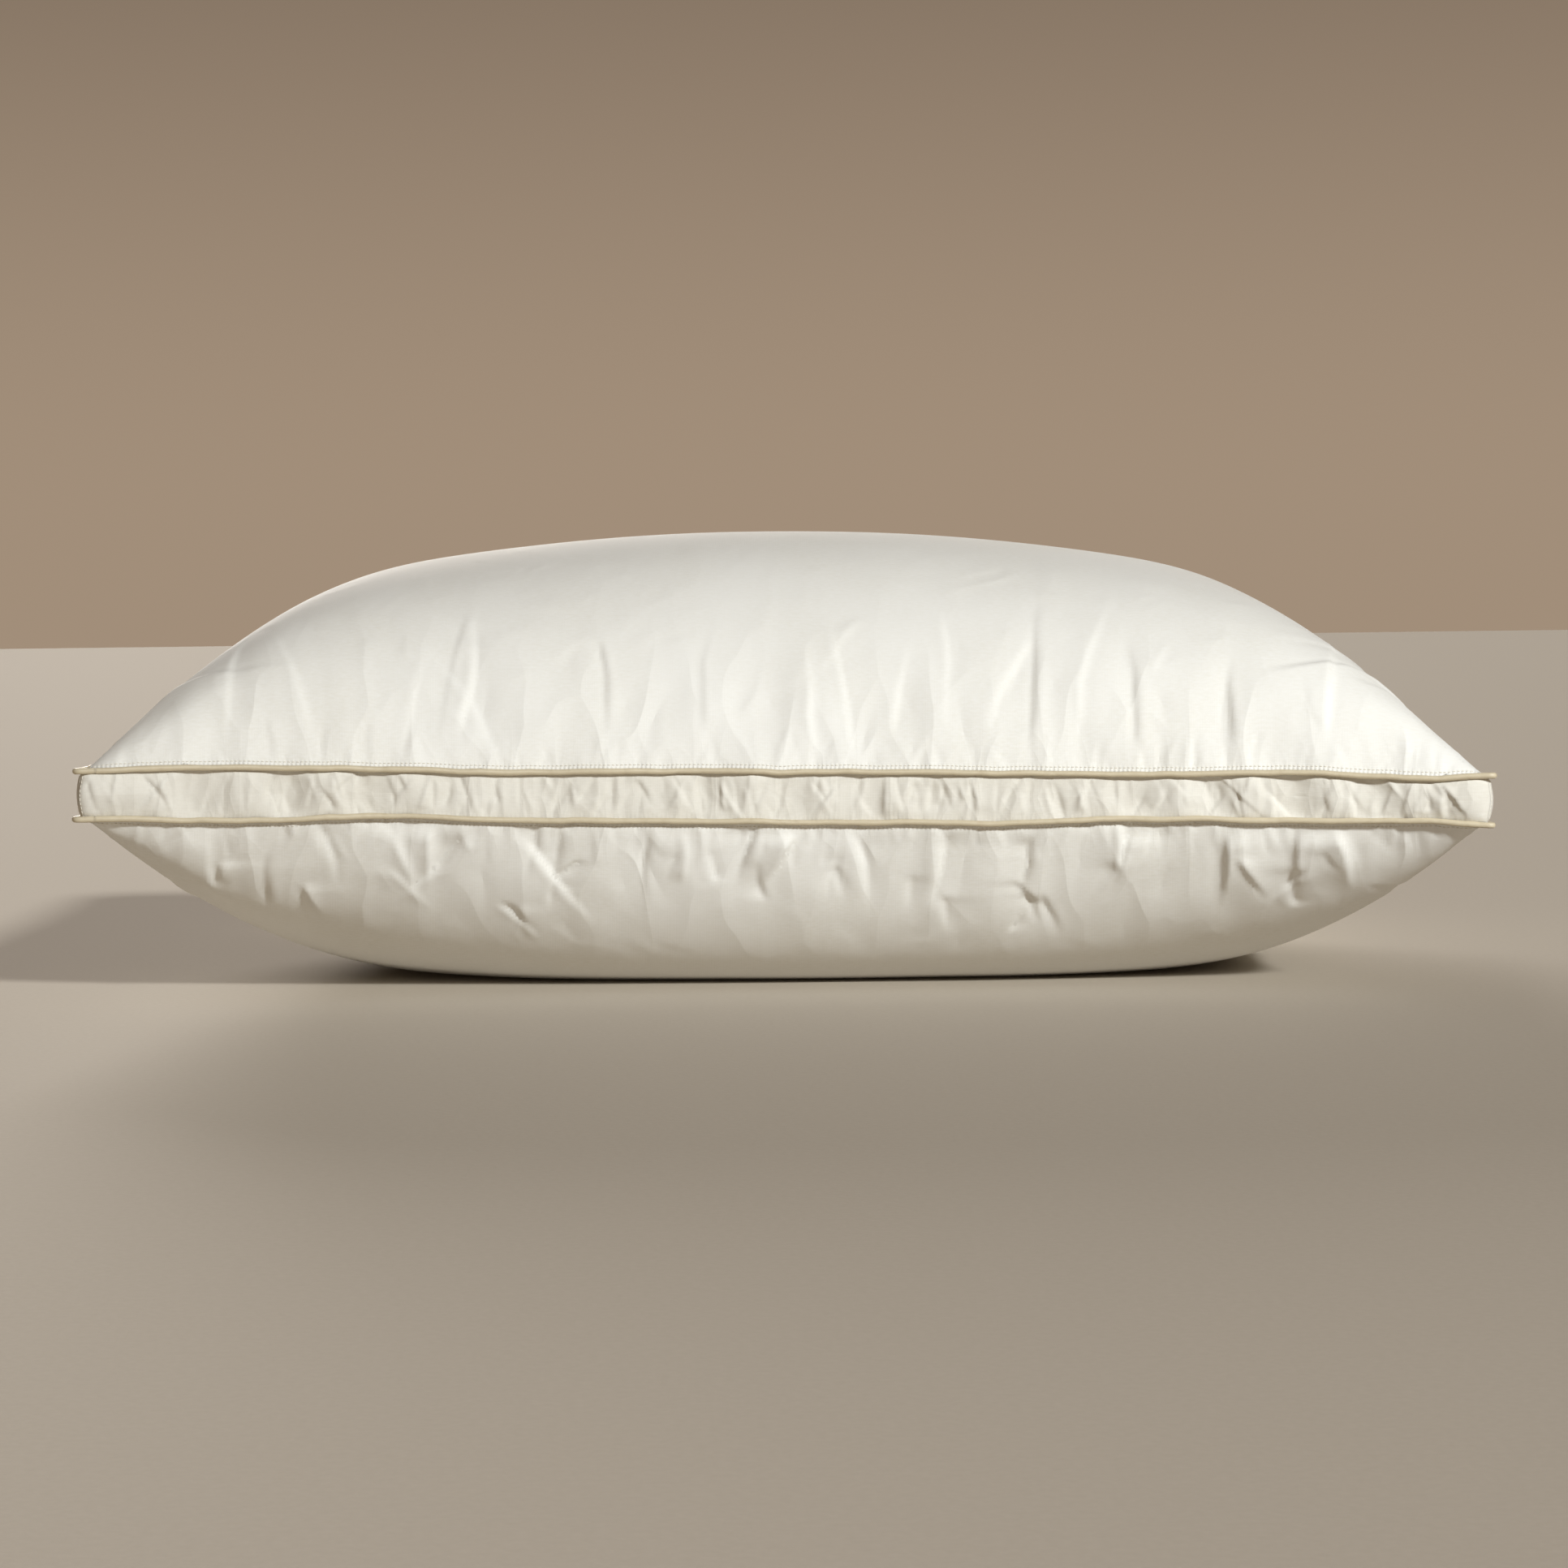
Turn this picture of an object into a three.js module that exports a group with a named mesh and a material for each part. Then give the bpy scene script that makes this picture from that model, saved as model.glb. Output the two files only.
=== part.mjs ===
// Gusseted bed pillow, in millimetres: +X along its length, -Y its front, +Z up.
// The origin is on the surface the pillow rests on, under the middle of its outline.
import * as THREE from "three";

// Overall shape. The outline is the seam line, which draws in between the corners once filled.
const SEAM_LENGTH = 719; // corner to corner along X
const SEAM_WIDTH = 475; // corner to corner along Y
const HEIGHT = 246; // resting surface to crown
const LOWER_SEAM_HEIGHT = 95; // resting surface to the lower seam
const GUSSET_HEIGHT = 25; // lower seam to upper seam
const SIDE_SAG = 42; // how far the long edges draw in at their middles
const END_SAG = 26; // how far the short edges draw in at their middles
const CORNER_CUT = 9; // where the corner's round starts, measured along each edge
const GUSSET_BULGE = 2; // how far the gusset swells out past the seams

// How the two panels curve between the seam and their middles.
const CROWN_FULLNESS = 3.1;
const CROWN_EDGE = 0.7;
const RESTING_SHARE = 0.58; // share of the half width that lies flat on the surface below
const CORNER_DRAW = 4; // how quickly the rings round off on their way in from the corners

// Cloths, piping and threads.
const COTTON = 0.8; // panels and gusset, with the layer of down that clings to them
const SATIN = 0.4; // cover of the piping
const CORD_RADIUS = 1.1;
const CORD_CLEARANCE = 0.35; // between the piping's cord and its cover
const FLANGE_DEPTH = 8; // seam allowance of the piping, inside the pillow
const FLANGE_SLIT = 0.3; // between the two layers of the allowance
const BEAD_STANDOFF = 0.6; // from the seam line to the near side of the piping
const THREAD_RADIUS = 0.25;
const STITCH_DROP = 2.6; // from the seam to the row of stitches beside it
const CLOSING_LENGTH = 180; // hand-closed stretch of the back seam
const LABEL_WIDTH = 38;
const LABEL_DROP = 30;
const LABEL_THICKNESS = 0.8;
const LABEL_X = 170;
const GAP = 0.35; // between pieces that touch

// Steps along the outline, up the gusset and round a bead.
const SIDE_STEPS = 12;
const END_STEPS = 8;
const CORNER_STEPS = 4;
const GUSSET_STEPS = 4;
const THREAD_SIDES = 4;
const CORD_SIDES = 6;
const BEAD_STEPS = 7;
const CROWN_SHARES = [0.25, 0.48, 0.66, 0.8, 0.9, 0.96, 1];
const BASE_SHARES = [RESTING_SHARE, 0.68, 0.78, 0.87, 0.94, 0.98, 1];

// Sizes that follow from the ones above.
const UPPER_SEAM_HEIGHT = LOWER_SEAM_HEIGHT + GUSSET_HEIGHT;
const BEAD_BORE = CORD_RADIUS + CORD_CLEARANCE;
const BEAD_RADIUS = BEAD_BORE + SATIN;
const BEAD_OUT = BEAD_RADIUS + BEAD_STANDOFF;
const FLANGE_HALF = SATIN + FLANGE_SLIT / 2;
const RIM_CLEARANCE = FLANGE_HALF + GAP;
const THREAD_OUT = GAP + THREAD_RADIUS;
const CORNER_GAP = 2 * (THREAD_RADIUS + GAP);
const FILLING_INSET = COTTON + GAP;
const CORNER_ANGLE =
  Math.PI / 2 - Math.atan((4 * SIDE_SAG) / SEAM_LENGTH) - Math.atan((4 * END_SAG) / SEAM_WIDTH);
const CORNER_MITRE = 1 / (Math.SQRT2 * Math.sin(CORNER_ANGLE / 2));

const cotton = new THREE.MeshStandardMaterial({ color: 0xefefe8, roughness: 0.85, metalness: 0 });
const gussetCotton = new THREE.MeshStandardMaterial({ color: 0xf0ece0, roughness: 0.85, metalness: 0 });
const satin = new THREE.MeshStandardMaterial({ color: 0xcbbfa0, roughness: 0.4, metalness: 0 });
const thread = new THREE.MeshStandardMaterial({ color: 0xf4f2ea, roughness: 0.6, metalness: 0 });
const cordCotton = new THREE.MeshStandardMaterial({ color: 0xe9e4d4, roughness: 0.9, metalness: 0 });
const labelSatin = new THREE.MeshStandardMaterial({ color: 0xf7f6f1, roughness: 0.5, metalness: 0 });
const down = new THREE.MeshStandardMaterial({ color: 0xf3f0e6, roughness: 1, metalness: 0 });

// The outline's corner and edge sags when it is moved `out` outward along its own normals.
function outlineSizes(out) {
  return {
    cornerX: SEAM_LENGTH / 2 + CORNER_MITRE * out,
    cornerY: SEAM_WIDTH / 2 + CORNER_MITRE * out,
    sideSag: SIDE_SAG + (CORNER_MITRE - 1) * out,
    endSag: END_SAG + (CORNER_MITRE - 1) * out,
  };
}

// A point of the back edge at x, on the outline moved `out` outward.
function backPoint(x, out) {
  const { cornerX, cornerY, sideSag } = outlineSizes(out);
  return new THREE.Vector2(x, cornerY - sideSag * (1 - (x / cornerX) ** 2));
}

// A point of the right edge at y, on the outline moved `out` outward.
function rightPoint(y, out) {
  const { cornerX, cornerY, endSag } = outlineSizes(out);
  return new THREE.Vector2(cornerX - endSag * (1 - (y / cornerY) ** 2), y);
}

// `count` points from the first up to, but without, the last of a curve over -1 to 1.
function stretch(count, pointAt) {
  return Array.from({ length: count }, (_, i) => pointAt(-1 + (2 * i) / count));
}

// The whole outline, anticlockwise from the front left corner. Its second half is the first
// one turned by half a turn.
function outline(out) {
  const { cornerX, cornerY } = outlineSizes(out);
  const alongX = cornerX - CORNER_CUT;
  const alongY = cornerY - CORNER_CUT;
  const frontEdge = (t) => backPoint(-t * alongX, out).negate();
  const rightEdge = (t) => rightPoint(t * alongY, out);
  const frontRight = new THREE.QuadraticBezierCurve(
    frontEdge(1), new THREE.Vector2(cornerX, -cornerY), rightEdge(-1),
  );
  const backRight = new THREE.QuadraticBezierCurve(
    rightEdge(1), new THREE.Vector2(cornerX, cornerY), backPoint(alongX, out),
  );
  const half = [
    ...stretch(SIDE_STEPS, frontEdge),
    ...frontRight.getPoints(CORNER_STEPS).slice(0, -1),
    ...stretch(END_STEPS, rightEdge),
    ...backRight.getPoints(CORNER_STEPS).slice(0, -1),
  ];
  return [...half, ...half.map((point) => point.clone().negate())];
}

function atHeight(points, z) {
  return points.map((point) => new THREE.Vector3(point.x, point.y, z));
}

// A ring of a panel at a share of the way out from its middle, where it is the outline itself
// at a share of 1 and close to an ellipse near the middle.
function panelRing(out, share, z) {
  const { cornerX, cornerY, sideSag, endSag } = outlineSizes(out);
  const midX = cornerX - endSag;
  const midY = cornerY - sideSag;
  const ring = outline(out).map((point) => {
    const toEllipse = 1 / Math.hypot(point.x / midX, point.y / midY);
    const blend = THREE.MathUtils.lerp(toEllipse, 1, share ** CORNER_DRAW);
    return point.multiplyScalar(share * blend);
  });
  return atHeight(ring, z);
}

// Rings of the upper panel's surface from its crown out to its rim.
function crownRings(out, rimZ, crownZ) {
  const rise = (share) => (1 - share ** CROWN_FULLNESS) ** CROWN_EDGE;
  const rings = CROWN_SHARES.map((share) => panelRing(out, share, rimZ + (crownZ - rimZ) * rise(share)));
  return [[new THREE.Vector3(0, 0, crownZ)], ...rings];
}

// Rings of the lower panel's surface from the middle of its resting patch out to its rim.
function baseRings(out, rimZ, baseZ) {
  const drop = (share) => {
    const past = Math.max(0, (share - RESTING_SHARE) / (1 - RESTING_SHARE));
    return Math.sqrt(1 - past ** 2);
  };
  const rings = BASE_SHARES.map((share) => panelRing(out, share, rimZ + (baseZ - rimZ) * drop(share)));
  return [[new THREE.Vector3(0, 0, baseZ)], ...rings];
}

function quad(faces, a, b, c, d) {
  faces.push(a, b, c, a, c, d);
}

// A geometry from its points and triangles, turned so that its faces point out.
function closedGeometry(points, faces) {
  let volume = 0;
  for (let i = 0; i < faces.length; i += 3) {
    const [a, b, c] = [points[faces[i]], points[faces[i + 1]], points[faces[i + 2]]];
    volume += a.dot(new THREE.Vector3().crossVectors(b, c));
  }
  const turned = volume < 0 ? [...faces].reverse() : faces;
  const geometry = new THREE.BufferGeometry().setFromPoints(points);
  geometry.setIndex(turned);
  geometry.computeVertexNormals();
  return geometry;
}

// Skins rings of equal length that each run once round the pillow. A ring of one point is a
// pole; with `closed`, the last ring joins back on to the first, as round a tube. Each face is
// split from its narrower ring forward to its wider one, so that nested skins stay nested.
function loftRings(rings, closed) {
  const starts = [];
  let total = 0;
  for (const ring of rings) {
    starts.push(total);
    total += ring.length;
  }
  const count = Math.max(...rings.map((ring) => ring.length));
  const faces = [];
  const bands = closed ? rings.length : rings.length - 1;
  const width = (ring) => Math.hypot(ring[0].x, ring[0].y);
  for (let k = 0; k < bands; k += 1) {
    const next = (k + 1) % rings.length;
    const widens = width(rings[next]) >= width(rings[k]);
    for (let i = 0; i < count; i += 1) {
      const j = (i + 1) % count;
      const [a, b] = [starts[k], starts[next]];
      if (rings[k].length === 1) faces.push(a, b + i, b + j);
      else if (rings[next].length === 1) faces.push(a + i, b, a + j);
      else if (widens) quad(faces, a + i, b + i, b + j, a + j);
      else quad(faces, b + i, b + j, a + j, a + i);
    }
  }
  return closedGeometry(rings.flat(), faces);
}

// Skins closed sections along an open run and closes both ends, pairing each point of an end
// section with the one across it.
function loftSections(sections) {
  const count = sections[0].length;
  const faces = [];
  for (let s = 0; s + 1 < sections.length; s += 1) {
    for (let i = 0; i < count; i += 1) {
      const j = (i + 1) % count;
      quad(faces, s * count + i, (s + 1) * count + i, (s + 1) * count + j, s * count + j);
    }
  }
  const last = (sections.length - 1) * count;
  for (let i = 0; i + 1 < count / 2; i += 1) {
    quad(faces, i, i + 1, count - 2 - i, count - 1 - i);
    quad(faces, last + i, last + count - 1 - i, last + count - 2 - i, last + i + 1);
  }
  return closedGeometry(sections.flat(), faces);
}

// Points of a circle in the plane of a seam's section, as [out, z].
function circle(out, z, radius, sides) {
  return Array.from({ length: sides }, (_, i) => {
    const angle = (2 * Math.PI * (i + 0.5)) / sides;
    return [out + radius * Math.cos(angle), z + radius * Math.sin(angle)];
  });
}

// Runs a section of [out, z] points once round the outline.
function roundTheOutline(section) {
  return loftRings(section.map(([out, z]) => atHeight(outline(out), z)), true);
}

function mesh(name, geometry, material) {
  const made = new THREE.Mesh(geometry, material);
  made.name = name;
  return made;
}

function topPanel() {
  const rimZ = UPPER_SEAM_HEIGHT + RIM_CLEARANCE;
  const outer = crownRings(0, rimZ, HEIGHT);
  const inner = crownRings(-COTTON, rimZ, HEIGHT - COTTON);
  return mesh("top_panel", loftRings([...outer, ...inner.reverse()], false), cotton);
}

function bottomPanel() {
  const rimZ = LOWER_SEAM_HEIGHT - RIM_CLEARANCE;
  const outer = baseRings(0, rimZ, 0);
  const inner = baseRings(-COTTON, rimZ, COTTON);
  return mesh("bottom_panel", loftRings([...outer, ...inner.reverse()], false), cotton);
}

// How far the gusset's outer face stands out of the seam line at a share of its height.
function bulgeAt(share) {
  return 4 * GUSSET_BULGE * share * (1 - share);
}

// Heights and bulges from the gusset's lower edge to its upper edge.
function gussetLevels() {
  const low = LOWER_SEAM_HEIGHT + RIM_CLEARANCE;
  const high = UPPER_SEAM_HEIGHT - RIM_CLEARANCE;
  return Array.from({ length: GUSSET_STEPS + 1 }, (_, i) => {
    const z = THREE.MathUtils.lerp(low, high, i / GUSSET_STEPS);
    return { z, bulge: bulgeAt((z - LOWER_SEAM_HEIGHT) / GUSSET_HEIGHT) };
  });
}

// Stops an edge's run of outline points half a corner gap short of both corners' middles.
function betweenCorners(points, first, count) {
  const at = (i) => points[(i + points.length) % points.length];
  const run = Array.from({ length: count + 1 }, (_, i) => at(first + i).clone());
  const pullIn = (end, toward) => {
    const step = toward.clone().sub(end).setLength(CORNER_GAP / 2);
    return end.clone().add(step);
  };
  run[0] = pullIn(run[0], run[1]);
  run[count] = pullIn(run[count], run[count - 1]);
  return run;
}

// One strip of the gusset, from the middle of one corner to the middle of the next.
function gussetStrip(name, first, steps) {
  const levels = gussetLevels();
  const outer = levels.map(({ z, bulge }) => [bulge, z]);
  const inner = levels.map(({ z, bulge }) => [bulge - COTTON, z]).reverse();
  const rows = [...outer, ...inner].map(([out, z]) => {
    const run = betweenCorners(outline(out), first - CORNER_STEPS / 2, steps + CORNER_STEPS);
    return atHeight(run, z);
  });
  const sections = rows[0].map((_, i) => rows.map((row) => row[i]));
  return mesh(name, loftSections(sections), gussetCotton);
}

function gusset() {
  const half = SIDE_STEPS + END_STEPS + 2 * CORNER_STEPS;
  const right = SIDE_STEPS + CORNER_STEPS;
  return [
    gussetStrip("gusset_front", 0, SIDE_STEPS),
    gussetStrip("gusset_right", right, END_STEPS),
    gussetStrip("gusset_back", half, SIDE_STEPS),
    gussetStrip("gusset_left", half + right, END_STEPS),
  ];
}

// The piping's cover: a strip folded round the cord, with both its edges in the seam.
function pipingCover(name, seamZ) {
  const slit = FLANGE_SLIT / 2;
  const arc = (radius, half, steps) => {
    const open = Math.asin(half / radius);
    return Array.from({ length: steps + 1 }, (_, i) => {
      const angle = THREE.MathUtils.lerp(Math.PI - open, -Math.PI + open, i / steps);
      return [BEAD_OUT + radius * Math.cos(angle), seamZ + radius * Math.sin(angle)];
    });
  };
  const section = [
    [-FLANGE_DEPTH, seamZ + FLANGE_HALF],
    ...arc(BEAD_RADIUS, FLANGE_HALF, BEAD_STEPS),
    [-FLANGE_DEPTH, seamZ - FLANGE_HALF],
    [-FLANGE_DEPTH, seamZ - slit],
    ...arc(BEAD_BORE, slit, BEAD_STEPS).reverse(),
    [-FLANGE_DEPTH, seamZ + slit],
  ];
  return mesh(name, roundTheOutline(section), satin);
}

function pipingCord(name, seamZ) {
  return mesh(name, roundTheOutline(circle(BEAD_OUT, seamZ, CORD_RADIUS, CORD_SIDES)), cordCotton);
}

function seamThread(name, z) {
  return mesh(name, roundTheOutline(circle(THREAD_OUT, z, THREAD_RADIUS, THREAD_SIDES)), thread);
}

// The thread that closes a corner between two strips of the gusset.
function cornerThread(name, corner) {
  const sections = gussetLevels().map(({ z, bulge }) => {
    const centre = outline(bulge - COTTON / 2)[corner];
    return circle(0, 0, THREAD_RADIUS, CORD_SIDES).map(
      ([x, y]) => new THREE.Vector3(centre.x + x, centre.y + y, z),
    );
  });
  return mesh(name, loftSections(sections), thread);
}

function cornerThreads() {
  const half = SIDE_STEPS + END_STEPS + 2 * CORNER_STEPS;
  const frontRight = SIDE_STEPS + CORNER_STEPS / 2;
  const backRight = half - CORNER_STEPS / 2;
  return [
    cornerThread("corner_thread_front_right", frontRight),
    cornerThread("corner_thread_back_right", backRight),
    cornerThread("corner_thread_back_left", half + frontRight),
    cornerThread("corner_thread_front_left", half + backRight),
  ];
}

// The stitches that close the filling opening, in the back edge of the gusset.
function closingThread() {
  const lift = STITCH_DROP / GUSSET_HEIGHT;
  const out = bulgeAt(lift) + GAP + 2 * THREAD_RADIUS;
  const section = circle(out, LOWER_SEAM_HEIGHT + STITCH_DROP, THREAD_RADIUS, THREAD_SIDES);
  const sections = Array.from({ length: SIDE_STEPS + 1 }, (_, i) => {
    const x = CLOSING_LENGTH * (i / SIDE_STEPS - 0.5);
    return section.map(([offset, z]) => {
      const point = backPoint(x, offset);
      return new THREE.Vector3(point.x, point.y, z);
    });
  });
  return mesh("closing_thread", loftSections(sections), thread);
}

// A blank label caught in the back's lower seam, hanging just outside the lower panel.
function careLabel() {
  const made = mesh("care_label", new THREE.BoxGeometry(LABEL_WIDTH, LABEL_THICKNESS, LABEL_DROP), labelSatin);
  const point = backPoint(LABEL_X, BEAD_OUT);
  const ahead = backPoint(LABEL_X + 1, BEAD_OUT);
  made.position.set(point.x, point.y, LOWER_SEAM_HEIGHT - BEAD_RADIUS - GAP - LABEL_DROP / 2);
  made.rotation.z = Math.atan2(ahead.y - point.y, 1);
  return made;
}

// Down and feathers: one solid that fills the case and clears the seam allowances.
function filling() {
  const flangeEnd = -FLANGE_DEPTH - GAP;
  const upper = UPPER_SEAM_HEIGHT;
  const lower = LOWER_SEAM_HEIGHT;
  const around = (out, z) => atHeight(outline(out), z);
  const rings = [
    ...crownRings(-FILLING_INSET, upper + RIM_CLEARANCE, HEIGHT - FILLING_INSET),
    around(flangeEnd, upper + RIM_CLEARANCE),
    around(flangeEnd, upper - RIM_CLEARANCE),
    ...gussetLevels().reverse().map(({ z, bulge }) => around(bulge - FILLING_INSET, z)),
    around(flangeEnd, lower + RIM_CLEARANCE),
    around(flangeEnd, lower - RIM_CLEARANCE),
    ...baseRings(-FILLING_INSET, lower - RIM_CLEARANCE, FILLING_INSET).reverse(),
  ];
  return mesh("filling", loftRings(rings, false), down);
}

const pillow = new THREE.Group();
pillow.add(
  topPanel(),
  bottomPanel(),
  ...gusset(),
  pipingCover("upper_piping_cover", UPPER_SEAM_HEIGHT),
  pipingCover("lower_piping_cover", LOWER_SEAM_HEIGHT),
  pipingCord("upper_piping_cord", UPPER_SEAM_HEIGHT),
  pipingCord("lower_piping_cord", LOWER_SEAM_HEIGHT),
  seamThread("upper_seam_thread", UPPER_SEAM_HEIGHT + STITCH_DROP),
  seamThread("lower_seam_thread", LOWER_SEAM_HEIGHT - STITCH_DROP),
  ...cornerThreads(),
  closingThread(),
  careLabel(),
  filling(),
);

export default pillow;
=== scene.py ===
import logging
import math
from dataclasses import dataclass, field, replace
from enum import Enum
from typing import Any

import bpy
import numpy as np
from mathutils import Matrix, Vector


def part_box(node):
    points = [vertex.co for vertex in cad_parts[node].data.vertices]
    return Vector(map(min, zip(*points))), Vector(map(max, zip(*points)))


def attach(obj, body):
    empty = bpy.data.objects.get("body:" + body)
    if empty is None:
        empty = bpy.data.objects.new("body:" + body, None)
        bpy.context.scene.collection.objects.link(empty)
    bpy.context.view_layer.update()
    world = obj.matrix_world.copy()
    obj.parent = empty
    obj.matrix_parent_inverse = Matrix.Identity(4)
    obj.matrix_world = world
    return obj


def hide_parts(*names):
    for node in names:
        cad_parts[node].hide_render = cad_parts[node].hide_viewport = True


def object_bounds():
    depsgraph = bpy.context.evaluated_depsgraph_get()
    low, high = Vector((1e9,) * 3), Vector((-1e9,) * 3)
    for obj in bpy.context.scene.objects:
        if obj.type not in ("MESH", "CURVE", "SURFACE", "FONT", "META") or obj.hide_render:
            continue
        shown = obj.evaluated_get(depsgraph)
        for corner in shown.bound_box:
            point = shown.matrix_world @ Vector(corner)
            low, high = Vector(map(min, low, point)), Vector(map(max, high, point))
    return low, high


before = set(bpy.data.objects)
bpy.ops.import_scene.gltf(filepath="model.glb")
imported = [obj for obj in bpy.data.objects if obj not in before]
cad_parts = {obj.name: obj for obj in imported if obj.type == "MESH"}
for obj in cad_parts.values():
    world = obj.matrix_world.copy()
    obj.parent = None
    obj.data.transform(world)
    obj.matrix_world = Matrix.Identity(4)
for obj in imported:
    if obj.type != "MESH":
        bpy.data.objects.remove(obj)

log = logging.getLogger("pillow")

Array = np.ndarray
Rng = np.random.Generator
Object = bpy.types.Object
Tree = bpy.types.NodeTree
Socket = bpy.types.NodeSocket

MM = 0.001
GRAVITY = 9.81
UP = np.array([0.0, 0.0, 1.0])
CAD_LOW, CAD_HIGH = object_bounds()
BODY = "root"


# ---------------------------------------------------------------- colours and nodes


def linear(colour: str) -> tuple[float, float, float, float]:
    """Turns an sRGB hex colour into linear light.

    Args:
        colour: Six hex digits, such as "EFEFE8".

    Returns:
        Red, green, blue and an alpha of 1, as a node socket takes them.
    """
    shares = [int(colour[i : i + 2], 16) / 255 for i in (0, 2, 4)]
    lit = [s / 12.92 if s <= 0.04045 else ((s + 0.055) / 1.055) ** 2.4 for s in shares]
    return lit[0], lit[1], lit[2], 1.0


def add_node(
    tree: Tree,
    kind: str,
    settings: dict[str | int, Any] | None = None,
    links: dict[str | int, Socket] | None = None,
) -> bpy.types.Node:
    """Adds a node, sets it and links what feeds it.

    Args:
        tree: The tree the node goes in.
        kind: The node's type name.
        settings: Values by socket name, socket number or property name.
        links: Output sockets by the name or number of the input they feed.

    Returns:
        The new node.
    """
    node = tree.nodes.new(kind)
    for key, value in (settings or {}).items():
        if isinstance(key, str) and hasattr(node, key):
            setattr(node, key, value)
        else:
            node.inputs[key].default_value = value
    for key, source in (links or {}).items():
        tree.links.new(source, node.inputs[key])
    return node


def new_material(name: str) -> tuple[bpy.types.Material, Tree]:
    """Makes a material with an empty tree, and returns both."""
    material = bpy.data.materials.new(name)
    material.use_nodes = True
    material.node_tree.nodes.clear()
    return material, material.node_tree


def add_surface(
    tree: Tree,
    colours: tuple[str, str],
    share: Socket,
    height: Socket,
    settings: dict[str, float],
    roughness: Socket | None = None,
) -> None:
    """Ends a material with its tint, its bump, its shader and its output.

    Args:
        tree: The material's tree.
        colours: The two sRGB colours that the tint lies between.
        share: How far each spot is from the first colour to the second.
        height: The surface's height in millimetres.
        settings: The shader's values by socket name.
        roughness: The roughness, where it varies.
    """
    first, second = (linear(colour) for colour in colours)
    mix = {"data_type": "RGBA", 6: first, 7: second}
    tint = add_node(tree, "ShaderNodeMix", mix, {0: share}).outputs[2]
    bump = add_node(tree, "ShaderNodeBump", {"Distance": MM}, {"Height": height}).outputs[0]
    links = {"Base Color": tint, "Normal": bump}
    if roughness is not None:
        links["Roughness"] = roughness
    shader = add_node(tree, "ShaderNodeBsdfPrincipled", settings, links)
    add_node(tree, "ShaderNodeOutputMaterial", links={"Surface": shader.outputs["BSDF"]})


def wave_scale(spacing_mm: float) -> float:
    """Scale of a band texture, on coordinates in metres, whose bands lie a spacing apart."""
    return 2 * math.pi / (20 * spacing_mm * MM)


def noise_scale(feature_mm: float) -> float:
    """Scale of a noise texture, on coordinates in metres, whose features have a given size."""
    return 1 / (feature_mm * MM)


def height_sum(tree: Tree, parts: list[tuple[Socket, float]]) -> Socket:
    """Adds up heights for a bump.

    Args:
        tree: The material's tree.
        parts: Each texture's output with its full height in millimetres.

    Returns:
        The summed height in millimetres.
    """
    total: Socket | None = None
    for source, height_mm in parts:
        scaled = add_node(
            tree, "ShaderNodeMath", {"operation": "MULTIPLY", 1: height_mm}, {0: source}
        ).outputs[0]
        if total is not None:
            scaled = add_node(
                tree, "ShaderNodeMath", {"operation": "ADD"}, {0: total, 1: scaled}
            ).outputs[0]
        total = scaled
    return total


# ---------------------------------------------------------------- finishes


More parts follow.
